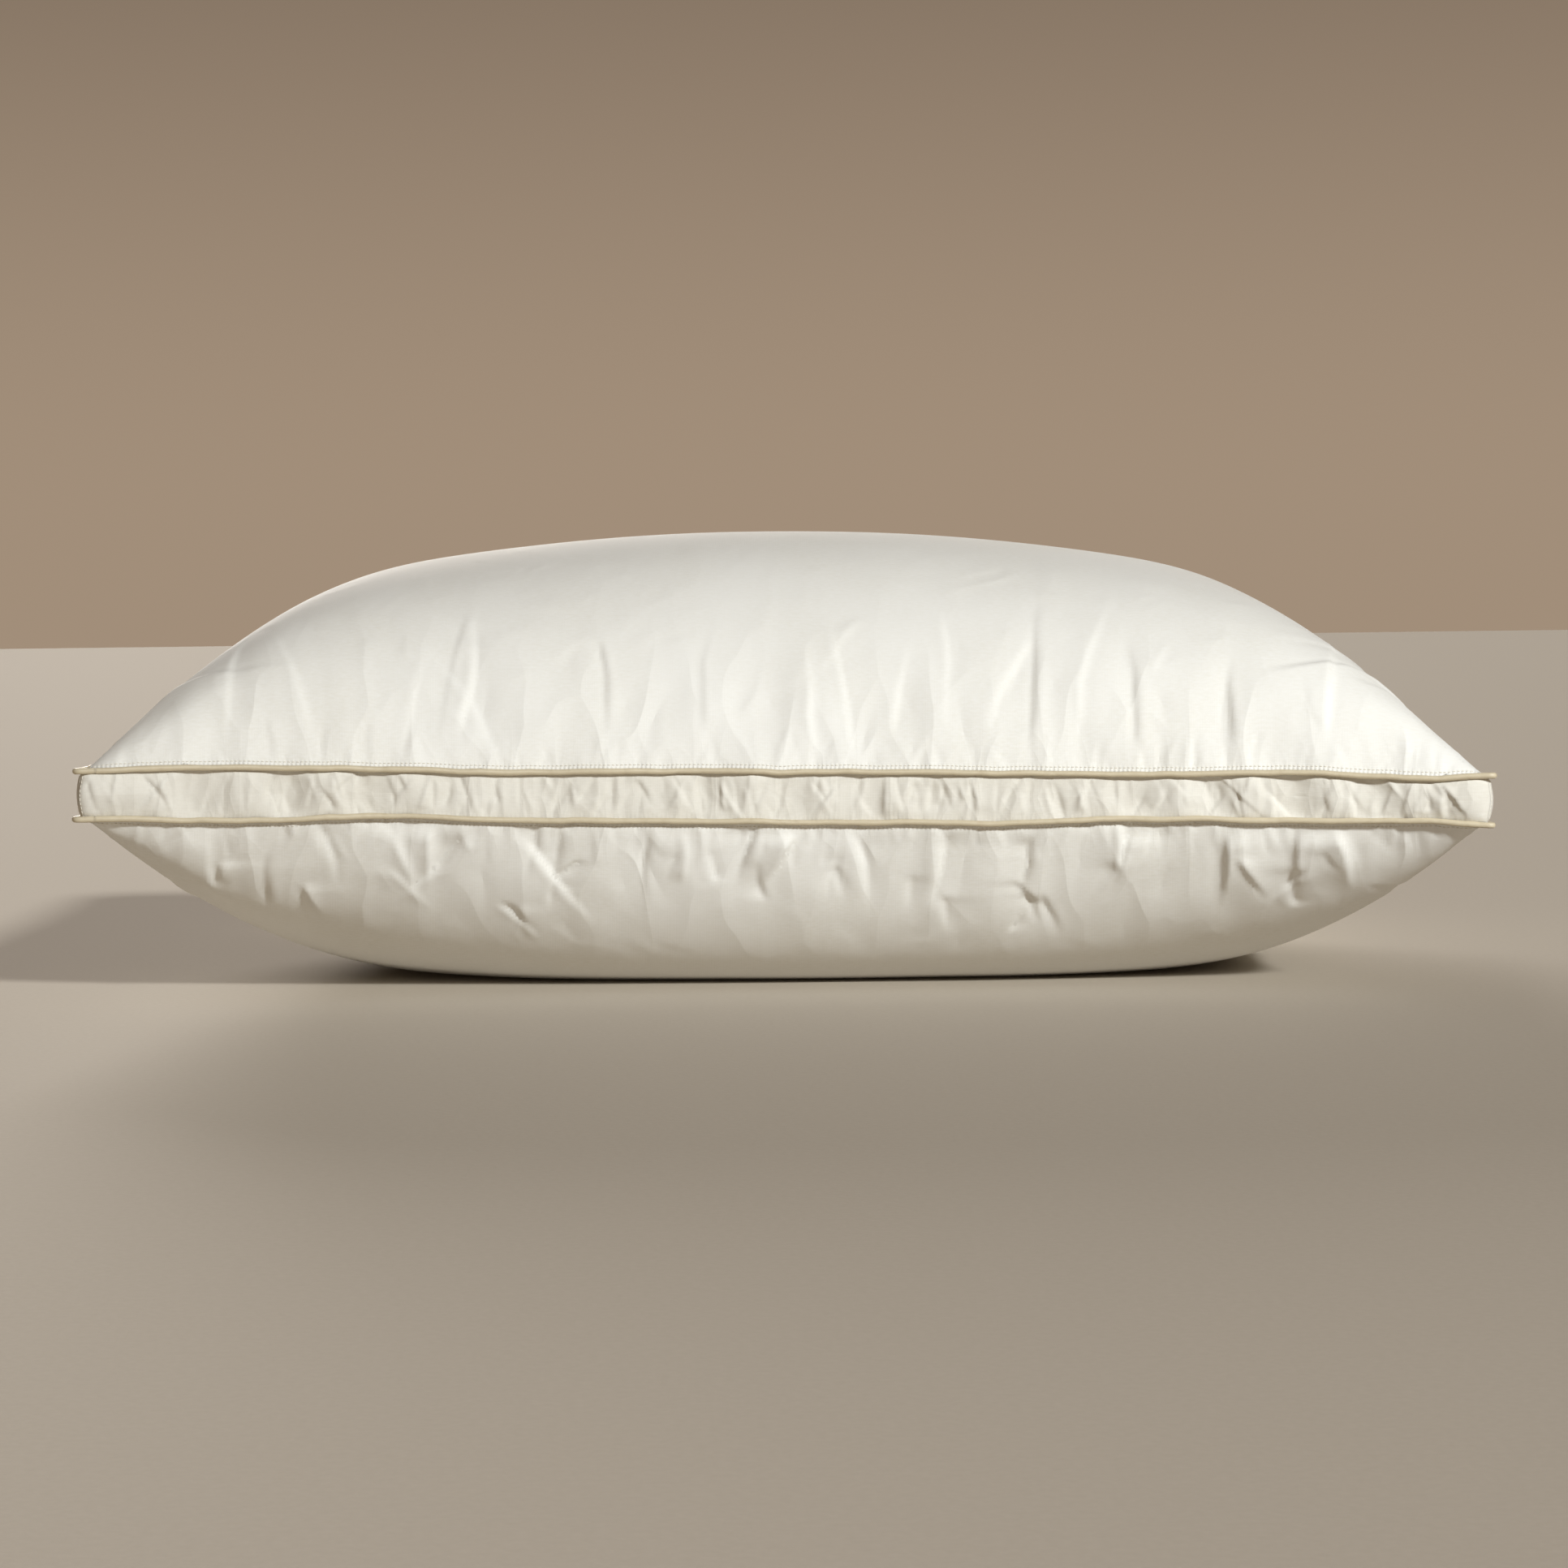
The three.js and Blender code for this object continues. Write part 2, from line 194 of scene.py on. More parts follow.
@dataclass(frozen=True)
class PercaleFinish:
    """Cotton percale, woven tight enough to hold down in and pressed between hot rollers.

    The pressing gives a faint gloss on a matt cloth. The weave shows as a fine even grain with
    a few thicker yarns, and the cloth keeps small creases from being handled.
    """

    name: str
    colour: str
    yarn_colour: str
    weave_mm: float = 0.8  # real threads lie 0.2 mm apart, too fine to show
    weave_height_mm: float = 0.03
    slub_mm: float = 1.3  # real slubs are half as thick, too fine to show
    slub_stretch: float = 0.35
    slub_height_mm: float = 0.035
    crease_mm: float = 26.0
    crease_height_mm: float = 0.55
    stitch_mm: float = 2.3
    dimple_reach_mm: float = 6.0
    dimple_height_mm: float = 0.26
    facet_mm: float = 30.0
    facet_stretch: float = 0.45  # below 1, it draws the facets out across the seam
    facet_edge: float = 0.06  # how far the edges between them are rounded
    facet_wander_mm: float = 30.0
    crumple_height_mm: float = 3.0
    crumple_reach_mm: float = 110.0
    crumple_left_over: float = 0.12  # share of it left in the middle of a panel
    pucker_mm: float = 11.0
    pucker_height_mm: float = 0.75
    pucker_reach_mm: float = 34.0
    mitre_mm: float = 25.0  # the facets fade where those of two seams would meet
    cloud_mm: float = 90.0
    cloud_range: tuple[float, float] = (0.12, 0.45)
    roughness: float = 0.78
    roughness_spread: float = 0.06
    sheen: float = 0.25
    sheen_roughness: float = 0.45
    specular: float = 0.35

    def build(self) -> bpy.types.Material:
        """Makes the material."""
        material, tree = new_material(self.name)
        cut = add_node(tree, "ShaderNodeUVMap", {"uv_map": "cut"}).outputs["UV"]
        weave = self._weave(tree, cut)
        slub = self._slubs(tree, cut)
        crease = self._creases(tree, cut)
        marks = {
            mark: add_node(tree, "ShaderNodeAttribute", {"attribute_name": mark}).outputs["Fac"]
            for mark in ("seam_along", "seam_away", "from_mitre")
        }
        dimple = self._dimples(tree, marks)
        crumple = self._crumple(
            tree, marks, self.facet_mm, self.crumple_reach_mm, self.crumple_left_over
        )
        pucker = self._crumple(tree, marks, self.pucker_mm, self.pucker_reach_mm, 0.0)
        height = height_sum(
            tree,
            [
                (weave, self.weave_height_mm),
                (slub, self.slub_height_mm),
                (crease, self.crease_height_mm),
                (dimple, self.dimple_height_mm),
                (crumple, self.crumple_height_mm),
                (pucker, self.pucker_height_mm),
            ],
        )
        share = self._tint_share(tree, cut, slub)
        roughness = add_node(
            tree,
            "ShaderNodeMapRange",
            {
                "To Min": self.roughness - self.roughness_spread,
                "To Max": self.roughness + self.roughness_spread,
            },
            {"Value": weave},
        ).outputs[0]
        settings = {
            "Sheen Weight": self.sheen,
            "Sheen Roughness": self.sheen_roughness,
            "Specular IOR Level": self.specular,
        }
        colours = (self.colour, self.yarn_colour)
        add_surface(tree, colours, share, height, settings, roughness)
        return material

    def _weave(self, tree: Tree, cut: Socket) -> Socket:
        """Warp and weft threads crossing at right angles."""
        bands = [
            add_node(
                tree,
                "ShaderNodeTexWave",
                {"bands_direction": axis, "Scale": wave_scale(self.weave_mm), "Distortion": 0.6},
                {"Vector": cut},
            ).outputs["Fac"]
            for axis in ("X", "Y")
        ]
        return add_node(
            tree, "ShaderNodeMath", {"operation": "MULTIPLY"}, {0: bands[0], 1: bands[1]}
        ).outputs[0]

    def _slubs(self, tree: Tree, cut: Socket) -> Socket:
        """Thicker stretches of yarn, long along the weft and thin across it."""
        stretched = add_node(
            tree, "ShaderNodeMapping", {"Scale": (self.slub_stretch, 1.0, 1.0)}, {"Vector": cut}
        ).outputs[0]
        return add_node(
            tree,
            "ShaderNodeTexNoise",
            {"Scale": noise_scale(self.slub_mm), "Detail": 2.0},
            {"Vector": stretched},
        ).outputs["Fac"]

    def _creases(self, tree: Tree, cut: Socket) -> Socket:
        """Small soft creases left by handling."""
        return add_node(
            tree,
            "ShaderNodeTexNoise",
            {
                "noise_type": "RIDGED_MULTIFRACTAL",
                "Scale": noise_scale(self.crease_mm),
                "Detail": 2.5,
                "Roughness": 0.45,
                "Distortion": 0.5,
            },
            {"Vector": cut},
        ).outputs["Fac"]

    def _dimples(self, tree: Tree, marks: dict[str, Socket]) -> Socket:
        """The dip that each stitch pulls into the cloth beside a seam."""
        turns = add_node(
            tree,
            "ShaderNodeMath",
            {"operation": "MULTIPLY", 1: 2 * math.pi / (self.stitch_mm * MM)},
            {0: marks["seam_along"]},
        ).outputs[0]
        ripple = add_node(tree, "ShaderNodeMath", {"operation": "COSINE"}, {0: turns}).outputs[0]
        near = add_node(
            tree,
            "ShaderNodeMapRange",
            {"From Max": self.dimple_reach_mm * MM, "To Min": 1.0, "To Max": 0.0},
            {"Value": marks["seam_away"]},
        ).outputs[0]
        fade = add_node(tree, "ShaderNodeMath", {"operation": "POWER", 1: 2.0}, {0: near}).outputs[0]
        return add_node(
            tree, "ShaderNodeMath", {"operation": "MULTIPLY"}, {0: ripple, 1: fade}
        ).outputs[0]

    def _crumple(
        self,
        tree: Tree,
        marks: dict[str, Socket],
        facet_mm: float,
        reach_mm: float,
        left_over: float,
    ) -> Socket:
        """Flat facets with sharp edges between them, longest across the seam.

        Args:
            tree: The material's tree.
            marks: Where each spot lies along the seam, away from it and from a mitre.
            facet_mm: The facets' size.
            reach_mm: How far from the seam they fade out.
            left_over: How much of them is left beyond that, from 0 to 1.

        Returns:
            Their height, from 0 to 1.
        """
        along, away = marks["seam_along"], marks["seam_away"]
        shorter = add_node(
            tree, "ShaderNodeMath", {"operation": "MULTIPLY", 1: self.facet_stretch}, {0: away}
        ).outputs[0]
        place = add_node(tree, "ShaderNodeCombineXYZ", links={"X": along, "Y": shorter}).outputs[0]
        wander = add_node(
            tree,
            "ShaderNodeTexNoise",
            {"Scale": noise_scale(self.facet_wander_mm), "Detail": 1.0},
            {"Vector": place},
        ).outputs["Color"]
        most = self.facet_wander_mm * MM
        shifted = add_node(
            tree,
            "ShaderNodeVectorMath",
            {"operation": "MULTIPLY_ADD", 1: (most, most, 0.0)},
            {0: wander, 2: place},
        ).outputs[0]
        facets = add_node(
            tree,
            "ShaderNodeTexVoronoi",
            {
                "voronoi_dimensions": "2D",
                "feature": "SMOOTH_F1",
                "Scale": noise_scale(facet_mm),
                "Smoothness": self.facet_edge,
            },
            {"Vector": shifted},
        ).outputs["Distance"]
        near = add_node(
            tree,
            "ShaderNodeMapRange",
            {
                "interpolation_type": "SMOOTHSTEP",
                "From Max": reach_mm * MM,
                "To Min": 1.0,
                "To Max": left_over,
            },
            {"Value": away},
        ).outputs[0]
        clear = add_node(
            tree,
            "ShaderNodeMapRange",
            {"interpolation_type": "SMOOTHSTEP", "From Max": self.mitre_mm * MM},
            {"Value": marks["from_mitre"]},
        ).outputs[0]
        faded = add_node(
            tree, "ShaderNodeMath", {"operation": "MULTIPLY"}, {0: facets, 1: near}
        ).outputs[0]
        return add_node(
            tree, "ShaderNodeMath", {"operation": "MULTIPLY"}, {0: faded, 1: clear}
        ).outputs[0]

    def _tint_share(self, tree: Tree, cut: Socket, slub: Socket) -> Socket:
        """How far each spot turns from the cloth's colour to that of its thicker yarn."""
        cloud = add_node(
            tree,
            "ShaderNodeTexNoise",
            {"Scale": noise_scale(self.cloud_mm), "Detail": 3.0},
            {"Vector": cut},
        ).outputs["Fac"]
        both = add_node(
            tree, "ShaderNodeMath", {"operation": "MULTIPLY"}, {0: cloud, 1: slub}
        ).outputs[0]
        low, high = self.cloud_range
        return add_node(
            tree, "ShaderNodeMapRange", {"From Min": low, "From Max": high}, {"Value": both}
        ).outputs[0]


@dataclass(frozen=True)
class SatinFinish:
    """Viscose satin, whose long floating threads throw a soft directional shine.

    Cut on the bias for piping, its floats run at an angle round the cord. On a ribbon they run
    along it. Its colour turns to a darker shade in the grooves between floats and in the pucker
    hollows, a painted shade.
    """

    name: str
    colour: str
    # shade is the darker colour painted into the float grooves and pucker hollows: painted shade
    shade: str
    float_mm: float = 0.5  # real floats lie 0.15 mm apart, too fine to show
    float_height_mm: float = 0.02
    pucker_mm: float = 5.0
    pucker_height_mm: float = 0.22
    angle_degrees: float = 45.0
    # how far the floats and puckers rise before the painted shade is gone
    painted_shade_reach: float = 0.4
    roughness: float = 0.42
    roughness_range: tuple[float, float] = (-0.05, 0.08)
    anisotropy: float = 0.35
    sheen: float = 0.3
    sheen_roughness: float = 0.3

    def build(self) -> bpy.types.Material:
        """Makes the material."""
        material, tree = new_material(self.name)
        cut = add_node(tree, "ShaderNodeUVMap", {"uv_map": "cut"}).outputs["UV"]
        turned = add_node(
            tree,
            "ShaderNodeMapping",
            {"Rotation": (0.0, 0.0, math.radians(self.angle_degrees))},
            {"Vector": cut},
        ).outputs[0]
        floats = add_node(
            tree,
            "ShaderNodeTexWave",
            {"Scale": wave_scale(self.float_mm), "Distortion": 1.2, "Detail": 1.0},
            {"Vector": turned},
        ).outputs["Fac"]
        pucker = add_node(
            tree,
            "ShaderNodeTexNoise",
            {"Scale": noise_scale(self.pucker_mm), "Detail": 2.0},
            {"Vector": cut},
        ).outputs["Fac"]
        height = height_sum(
            tree, [(floats, self.float_height_mm), (pucker, self.pucker_height_mm)]
        )
        # Darkest where floats and puckers are lowest: painted shade in the hollows, turning to the
        # cloth's colour as they rise
        share = add_node(
            tree, "ShaderNodeMath", {"operation": "MULTIPLY"}, {0: floats, 1: pucker}
        ).outputs[0]
        lit = add_node(
            tree, "ShaderNodeMapRange", {"From Max": self.painted_shade_reach}, {"Value": share}
        ).outputs[0]
        smoother, rougher = self.roughness_range
        roughness = add_node(
            tree,
            "ShaderNodeMapRange",
            {"To Min": self.roughness + smoother, "To Max": self.roughness + rougher},
            {"Value": floats},
        ).outputs[0]
        settings = {
            "Anisotropic": self.anisotropy,
            "Sheen Weight": self.sheen,
            "Sheen Roughness": self.sheen_roughness,
        }
        add_surface(tree, (self.shade, self.colour), lit, height, settings, roughness)
        return material


@dataclass(frozen=True)
class SpunFinish:
    """Spun and twisted yarn, as in sewing thread or a soft cotton cord.

    The twist shows as slanting ridges, and loose fibre makes it matt. The grooves between the
    ridges are painted a darker shade.
    """

    name: str
    colour: str
    # shade is the darker colour painted into the grooves between the ridges: painted shade
    shade: str
    ply_mm: float
    ply_height_mm: float = 0.06
    twist_degrees: float = 55.0
    roughness: float = 0.7
    ridge_gloss: float = 0.1
    sheen: float = 0.3

    def build(self) -> bpy.types.Material:
        """Makes the material."""
        material, tree = new_material(self.name)
        cut = add_node(tree, "ShaderNodeUVMap", {"uv_map": "cut"}).outputs["UV"]
        turned = add_node(
            tree,
            "ShaderNodeMapping",
            {"Rotation": (0.0, 0.0, math.radians(self.twist_degrees))},
            {"Vector": cut},
        ).outputs[0]
        twist = add_node(
            tree,
            "ShaderNodeTexWave",
            {"Scale": wave_scale(self.ply_mm), "Distortion": 0.8},
            {"Vector": turned},
        ).outputs["Fac"]
        height = height_sum(tree, [(twist, self.ply_height_mm)])
        roughness = add_node(
            tree,
            "ShaderNodeMapRange",
            {"To Min": self.roughness - self.ridge_gloss, "To Max": self.roughness},
            {"Value": twist},
        ).outputs[0]
        settings = {"Sheen Weight": self.sheen}
        # Tint follows the ridges' height, darker in the grooves: painted shade
        add_surface(tree, (self.shade, self.colour), twist, height, settings, roughness)
        return material


@dataclass(frozen=True)
class DownFinish:
    """Loose white down with small feathers: soft tufts, quite matt, with pale tan quills."""

    name: str
    colour: str
    quill_colour: str
    tuft_mm: float = 12.0
    tuft_height_mm: float = 3.0
    quill_range: tuple[float, float] = (0.55, 0.75)
    roughness: float = 1.0
    sheen: float = 0.6

    def build(self) -> bpy.types.Material:
        """Makes the material."""
        material, tree = new_material(self.name)
        place = add_node(tree, "ShaderNodeTexCoord").outputs["Object"]
        tufts = add_node(
            tree,
            "ShaderNodeTexNoise",
            {"Scale": noise_scale(self.tuft_mm), "Detail": 6.0, "Roughness": 0.7},
            {"Vector": place},
        ).outputs["Fac"]
        low, high = self.quill_range
        quills = add_node(
            tree, "ShaderNodeMapRange", {"From Min": low, "From Max": high}, {"Value": tufts}
        ).outputs[0]
        height = height_sum(tree, [(tufts, self.tuft_height_mm)])
        settings = {"Roughness": self.roughness, "Sheen Weight": self.sheen}
        add_surface(tree, (self.colour, self.quill_colour), quills, height, settings)
        return material


@dataclass(frozen=True)
class PaintedFloorFinish:
    """Matt emulsion on board: pale, even, with the faintest roller texture."""

    name: str
    colour: str
    shade: str
    stipple_mm: float = 3.0
    stipple_height_mm: float = 0.1
    roughness: float = 0.9

    def build(self) -> bpy.types.Material:
        """Makes the material."""
        material, tree = new_material(self.name)
        place = add_node(tree, "ShaderNodeTexCoord").outputs["Object"]
        stipple = add_node(
            tree,
            "ShaderNodeTexNoise",
            {"Scale": noise_scale(self.stipple_mm), "Detail": 2.0},
            {"Vector": place},
        ).outputs["Fac"]
        height = height_sum(tree, [(stipple, self.stipple_height_mm)])
        settings = {"Roughness": self.roughness}
        add_surface(tree, (self.colour, self.shade), stipple, height, settings)
        return material


class Finish(Enum):
    """The finishes on the pillow, each with the record's material slot it belongs to."""

    PANEL = "panel_cotton"
    GUSSET = "gusset_cotton"
    PIPING = "piping_satin"
    CORD = "piping_cord"
    THREAD = "thread"
    LABEL = "label_satin"
    DOWN = "down"


class Wardrobe:
    """Builds each finish once and puts it on pieces."""

    def __init__(self) -> None:
        """Builds the materials."""
        recipes = {
            Finish.PANEL: PercaleFinish("pressed_cotton_percale_white", "F2F1EC", "ECEAE2"),
            Finish.GUSSET: PercaleFinish(
                "pressed_cotton_percale_cream",
                "E6E3DA",
                "DFDBD0",
                crease_mm=16.0,
                dimple_height_mm=0.06,
                facet_mm=13.0,
                crumple_height_mm=1.5,
                pucker_mm=7.0,
                pucker_height_mm=0.4,
            ),
            # The second colour of each satin and spun finish is the painted shade in its hollows and
            # grooves.
            Finish.PIPING: SatinFinish("bias_viscose_satin_champagne", "E0D5BA", "BFB093"),
            Finish.CORD: SpunFinish("soft_cotton_cord", "EAE4D2", "D2C9B0", ply_mm=1.0),
            Finish.THREAD: SpunFinish(
                "spun_polyester_thread", "F6F3E9", "DDD6C4", ply_mm=0.5, roughness=0.6
            ),
            Finish.LABEL: SatinFinish(
                "ribbon_polyester_satin", "F7F5EF", "E4E0D5", angle_degrees=0.0
            ),
            Finish.DOWN: DownFinish("washed_white_down", "F5F2E9", "CDB994"),
        }
        self.materials = {finish: recipe.build() for finish, recipe in recipes.items()}

    def dress(self, piece: Object, finish: Finish, *nodes: str) -> Object:
        """Gives a piece its finish and its place in the frame.

        Args:
            piece: The new piece.
            finish: What it is made of.
            nodes: The CAD nodes it stands for.

        Returns:
            The piece.
        """
        piece.data.materials.append(self.materials[finish])
        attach(piece, BODY)
        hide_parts(*nodes)
        log.info("%s: %d faces, for %s", piece.name, len(piece.data.polygons), ", ".join(nodes))
        return piece


# ---------------------------------------------------------------- mesh helpers


def unit(vectors: Array) -> Array:
    """The same vectors at length 1, along the last axis."""
    return vectors / np.maximum(np.linalg.norm(vectors, axis=-1, keepdims=True), 1e-12)


def resample(values: Array, steps: int | Array, axis: int) -> Array:
    """Reads a grid at other places along one axis, on a smooth curve through its points.

    Args:
        values: The grid.
        steps: A number of even steps, or the places themselves as shares of the way along.
        axis: The axis to step along.

    Returns:
        The grid with a point along that axis for each place, or one more than the steps.
    """
    run = np.moveaxis(values, axis, 0)
    last = len(run) - 1
    at = last * (np.linspace(0, 1, steps + 1) if isinstance(steps, int) else steps)
    start = np.clip(at.astype(int), 0, last - 1)
    t = (at - start).reshape((-1,) + (1,) * (run.ndim - 1))
    before, here = run[np.maximum(start - 1, 0)], run[start]
    ahead, after = run[start + 1], run[np.minimum(start + 2, last)]
    cubic = t * (3 * (here - ahead) + after - before)
    square = t * (2 * before - 5 * here + 4 * ahead - after + cubic)
    return np.moveaxis(here + 0.5 * t * (ahead - before + square), 0, axis)


def way_along(points: Array) -> Array:
    """How far along a line each of its points lies."""
    steps = np.linalg.norm(np.diff(points, axis=0), axis=1)
    return np.concatenate([[0.0], np.cumsum(steps)])


def round_loop(points: Array, spacing: float) -> Array:
    """Steps evenly round a closed line.

    Args:
        points: The line's points, without the first one again at the end.
        spacing: The step wanted, in metres.

    Returns:
        Points about that far apart, all round the line.
    """
    closed = np.concatenate([points, points[:1]])
    reach = way_along(closed)
    count = max(8, round(reach[-1] / spacing))
    at = np.arange(count) * reach[-1] / count
    return np.stack([np.interp(at, reach, closed[:, k]) for k in range(closed.shape[1])], -1)


def grid_faces(
    rows: int, columns: int, start: int = 0, ring_rows: bool = False, ring_columns: bool = False
) -> Array:
    """Quads over a grid of points.

    Args:
        rows: Points down the grid.
        columns: Points across it.
        start: Number of the grid's first point.
        ring_rows: Whether the last row joins the first.
        ring_columns: Whether the last column joins the first.

    Returns:
        Four point numbers for each quad, anticlockwise for rows along x and columns along y.
    """
    index = start + np.arange(rows * columns).reshape(rows, columns)
    if ring_rows:
        index = np.concatenate([index, index[:1]], 0)
    if ring_columns:
        index = np.concatenate([index, index[:, :1]], 1)
    quads = np.stack([index[:-1, :-1], index[1:, :-1], index[1:, 1:], index[:-1, 1:]], -1)
    return quads.reshape(-1, 4)


def rim_numbers(rows: int, columns: int) -> Array:
    """Numbers of a grid's outermost points, in the order its quads turn."""
    index = np.arange(rows * columns).reshape(rows, columns)
    return np.concatenate([index[:-1, 0], index[-1, :-1], index[:0:-1, -1], index[0, :0:-1]])


def signed_volume(points: Array, faces: Array) -> float:
    """Volume inside a closed mesh of quads, negative when its faces point in."""
    a, b, c, d = (points[faces[:, k]] for k in range(4))
    six_times = np.einsum("ij,ij->i", a, np.cross(b, c)) + np.einsum("ij,ij->i", a, np.cross(c, d))
    return float(six_times.sum() / 6)


def make_piece(
    name: str,
    points: Array,
    faces: Array,
    cut: Array | None = None,
    marks: dict[str, Array] | None = None,
) -> Object:
    """Makes a smooth closed mesh object whose faces point out.

    Args:
        name: The piece's name.
        points: Its points in metres, in the frame.
        faces: Its quads; a triangle repeats its last point.
        cut: Each point's place on the flat cloth, in metres, for its weave.
        marks: Values by point under the name a material reads them by.

    Returns:
        The object, linked to the scene.
    """
    if signed_volume(points, faces) < 0:
        faces = faces[:, ::-1]
    lists = [list(dict.fromkeys(face)) for face in faces.tolist()]
    mesh = bpy.data.meshes.new(name)
    mesh.from_pydata(points.tolist(), [], lists)
    mesh.polygons.foreach_set("use_smooth", np.ones(len(lists), bool))
    if cut is not None:
        corners = np.empty(len(mesh.loops), np.int32)
        mesh.loops.foreach_get("vertex_index", corners)
        layer = mesh.uv_layers.new(name="cut")
        layer.data.foreach_set("uv", cut[corners].astype(np.float32).ravel())
    for mark, values in (marks or {}).items():
        attribute = mesh.attributes.new(mark, "FLOAT", "POINT")
        attribute.data.foreach_set("value", values.astype(np.float32).ravel())
    mesh.update()
    piece = bpy.data.objects.new(name, mesh)
    bpy.context.collection.objects.link(piece)
    return piece


def grid_normals(grid: Array) -> Array:
    """Unit normals of a grid of points, on the side that rows crossed with columns gives."""
    return unit(np.cross(np.gradient(grid, axis=0), np.gradient(grid, axis=1)))


def make_cloth(
    name: str,
    grid: Array,
    thickness: float,
    cut: Array,
    marks: dict[str, Array] | None = None,
    inner_step: int = 2,
) -> Object:
    """Makes a piece of cloth with two faces and a rim from its outer face.

    Args:
        name: The piece's name.
        grid: Points of the outer face, by row and column.
        thickness: The cloth's thickness, laid inward.
        cut: Each point's place on the flat cloth.
        marks: Values by grid point for the material.
        inner_step: 2 gives the hidden inner face every other point, and 1 gives it all of them.

    Returns:
        The object.
    """
    inner = (grid - thickness * grid_normals(grid))[::inner_step, ::inner_step]
    points = np.concatenate([grid.reshape(-1, 3), inner.reshape(-1, 3)])
    count = grid.shape[0] * grid.shape[1]
    outside = rim_numbers(*grid.shape[:2])
    inside = rim_numbers(*inner.shape[:2]) + count
    onward = np.roll(inside, -1)
    start, end = outside[::inner_step], np.roll(outside[::inner_step], -1)
    if inner_step == 1:
        sides = np.stack([start, inside, onward, end], -1)
    else:
        halfway = outside[1::2]
        sides = np.concatenate([
            np.stack([halfway, start, inside, inside], -1),
            np.stack([halfway, inside, onward, onward], -1),
            np.stack([end, halfway, onward, onward], -1),
        ])
    inner_faces = grid_faces(*inner.shape[:2], count)[:, ::-1]
    faces = np.concatenate([grid_faces(*grid.shape[:2]), inner_faces, sides])
    twice = {
        mark: np.concatenate([v.ravel(), v[::inner_step, ::inner_step].ravel()])
        for mark, v in (marks or {}).items()
    }
    flat = np.concatenate([cut.reshape(-1, 2), cut[::inner_step, ::inner_step].reshape(-1, 2)])
    return make_piece(name, points, faces, flat, twice)


# ---------------------------------------------------------------- the sewn case


@dataclass(frozen=True)
class Pattern:
    """The flat sizes that the case is sewn to, in metres, and the fullness eased into it."""

    length: float = 0.742
    width: float = 0.492
    gusset: float = 0.026
    allowance: float = 0.008
    seam_ease: float = 0.035
    seam_ease_spread: float = 0.02
    gusset_ease: float = 0.025
    gusset_spread: float = 0.025
    patch_spread: float = 0.006


@dataclass(frozen=True)
class Filling:
    """How the filling presses on the case."""

    pressure: float = 215.0  # pascals at the crown
    density: float = 50.0  # kilograms per cubic metre of packed down
    lumps: float = 0.12  # share by which the pressure varies from place to place


@dataclass(frozen=True)
class Settling:
    """One pass of settling, at one spacing of the cloth's points."""

    spacing: float
    steps: int
    bend: float
    piping_stiffness: float
    jitter: float


STAGES = (
    Settling(12.4 * MM, 1000, 0.05, 0.3, 0.3 * MM),
    Settling(6.2 * MM, 450, 0.15, 0.4, 0.2 * MM),
    Settling(3.1 * MM, 350, 0.25, 0.45, 0.1 * MM),
)


def pull(a: Array, b: Array, rest: Array | float, share: float = 1.0) -> None:
    """Moves pairs of points in place towards their length at rest.

    Args:
        a: First points of the pairs.
        b: Second points of the pairs.
        rest: Lengths at rest.
        share: How much of the difference to take up.
    """
    apart = b - a
    length = np.sqrt(np.einsum("...k,...k->...", apart, apart))
    apart *= ((1.0 - rest / length) * (0.5 * share))[..., None]
    a += apart
    b -= apart


def smooth_run(rng: Rng, count: int, length: float, wave: float) -> Array:
    """Random values that change smoothly round a loop.

    Args:
        rng: Where the random values come from.
        count: Values wanted.
        length: The loop's length in metres.
        wave: The distance over which they change, in metres.

    Returns:
        The values, with a spread of about 1.
    """
    knots = rng.normal(0, 1, max(4, round(length / wave)))
    at = np.arange(count) * len(knots) / count
    start = at.astype(int)
    t = at - start
    t = t * t * (3 - 2 * t)
    return knots[start % len(knots)] * (1 - t) + knots[(start + 1) % len(knots)] * t


def smooth_field(
    rng: Rng, rows: int, columns: int, size: tuple[float, float], wave: float
) -> Array:
    """Random values that change smoothly over a panel.

    Args:
        rng: Where the random values come from.
        rows: Rows of values wanted.
        columns: Columns of values wanted.
        size: The panel's length and width in metres.
        wave: The distance over which the values change, in metres.

    Returns:
        The values, with a spread of about 1.
    """
    knots = rng.normal(0, 1, (round(size[0] / wave) + 1, round(size[1] / wave) + 1))
    return resample(resample(knots, rows - 1, 0), columns - 1, 1)


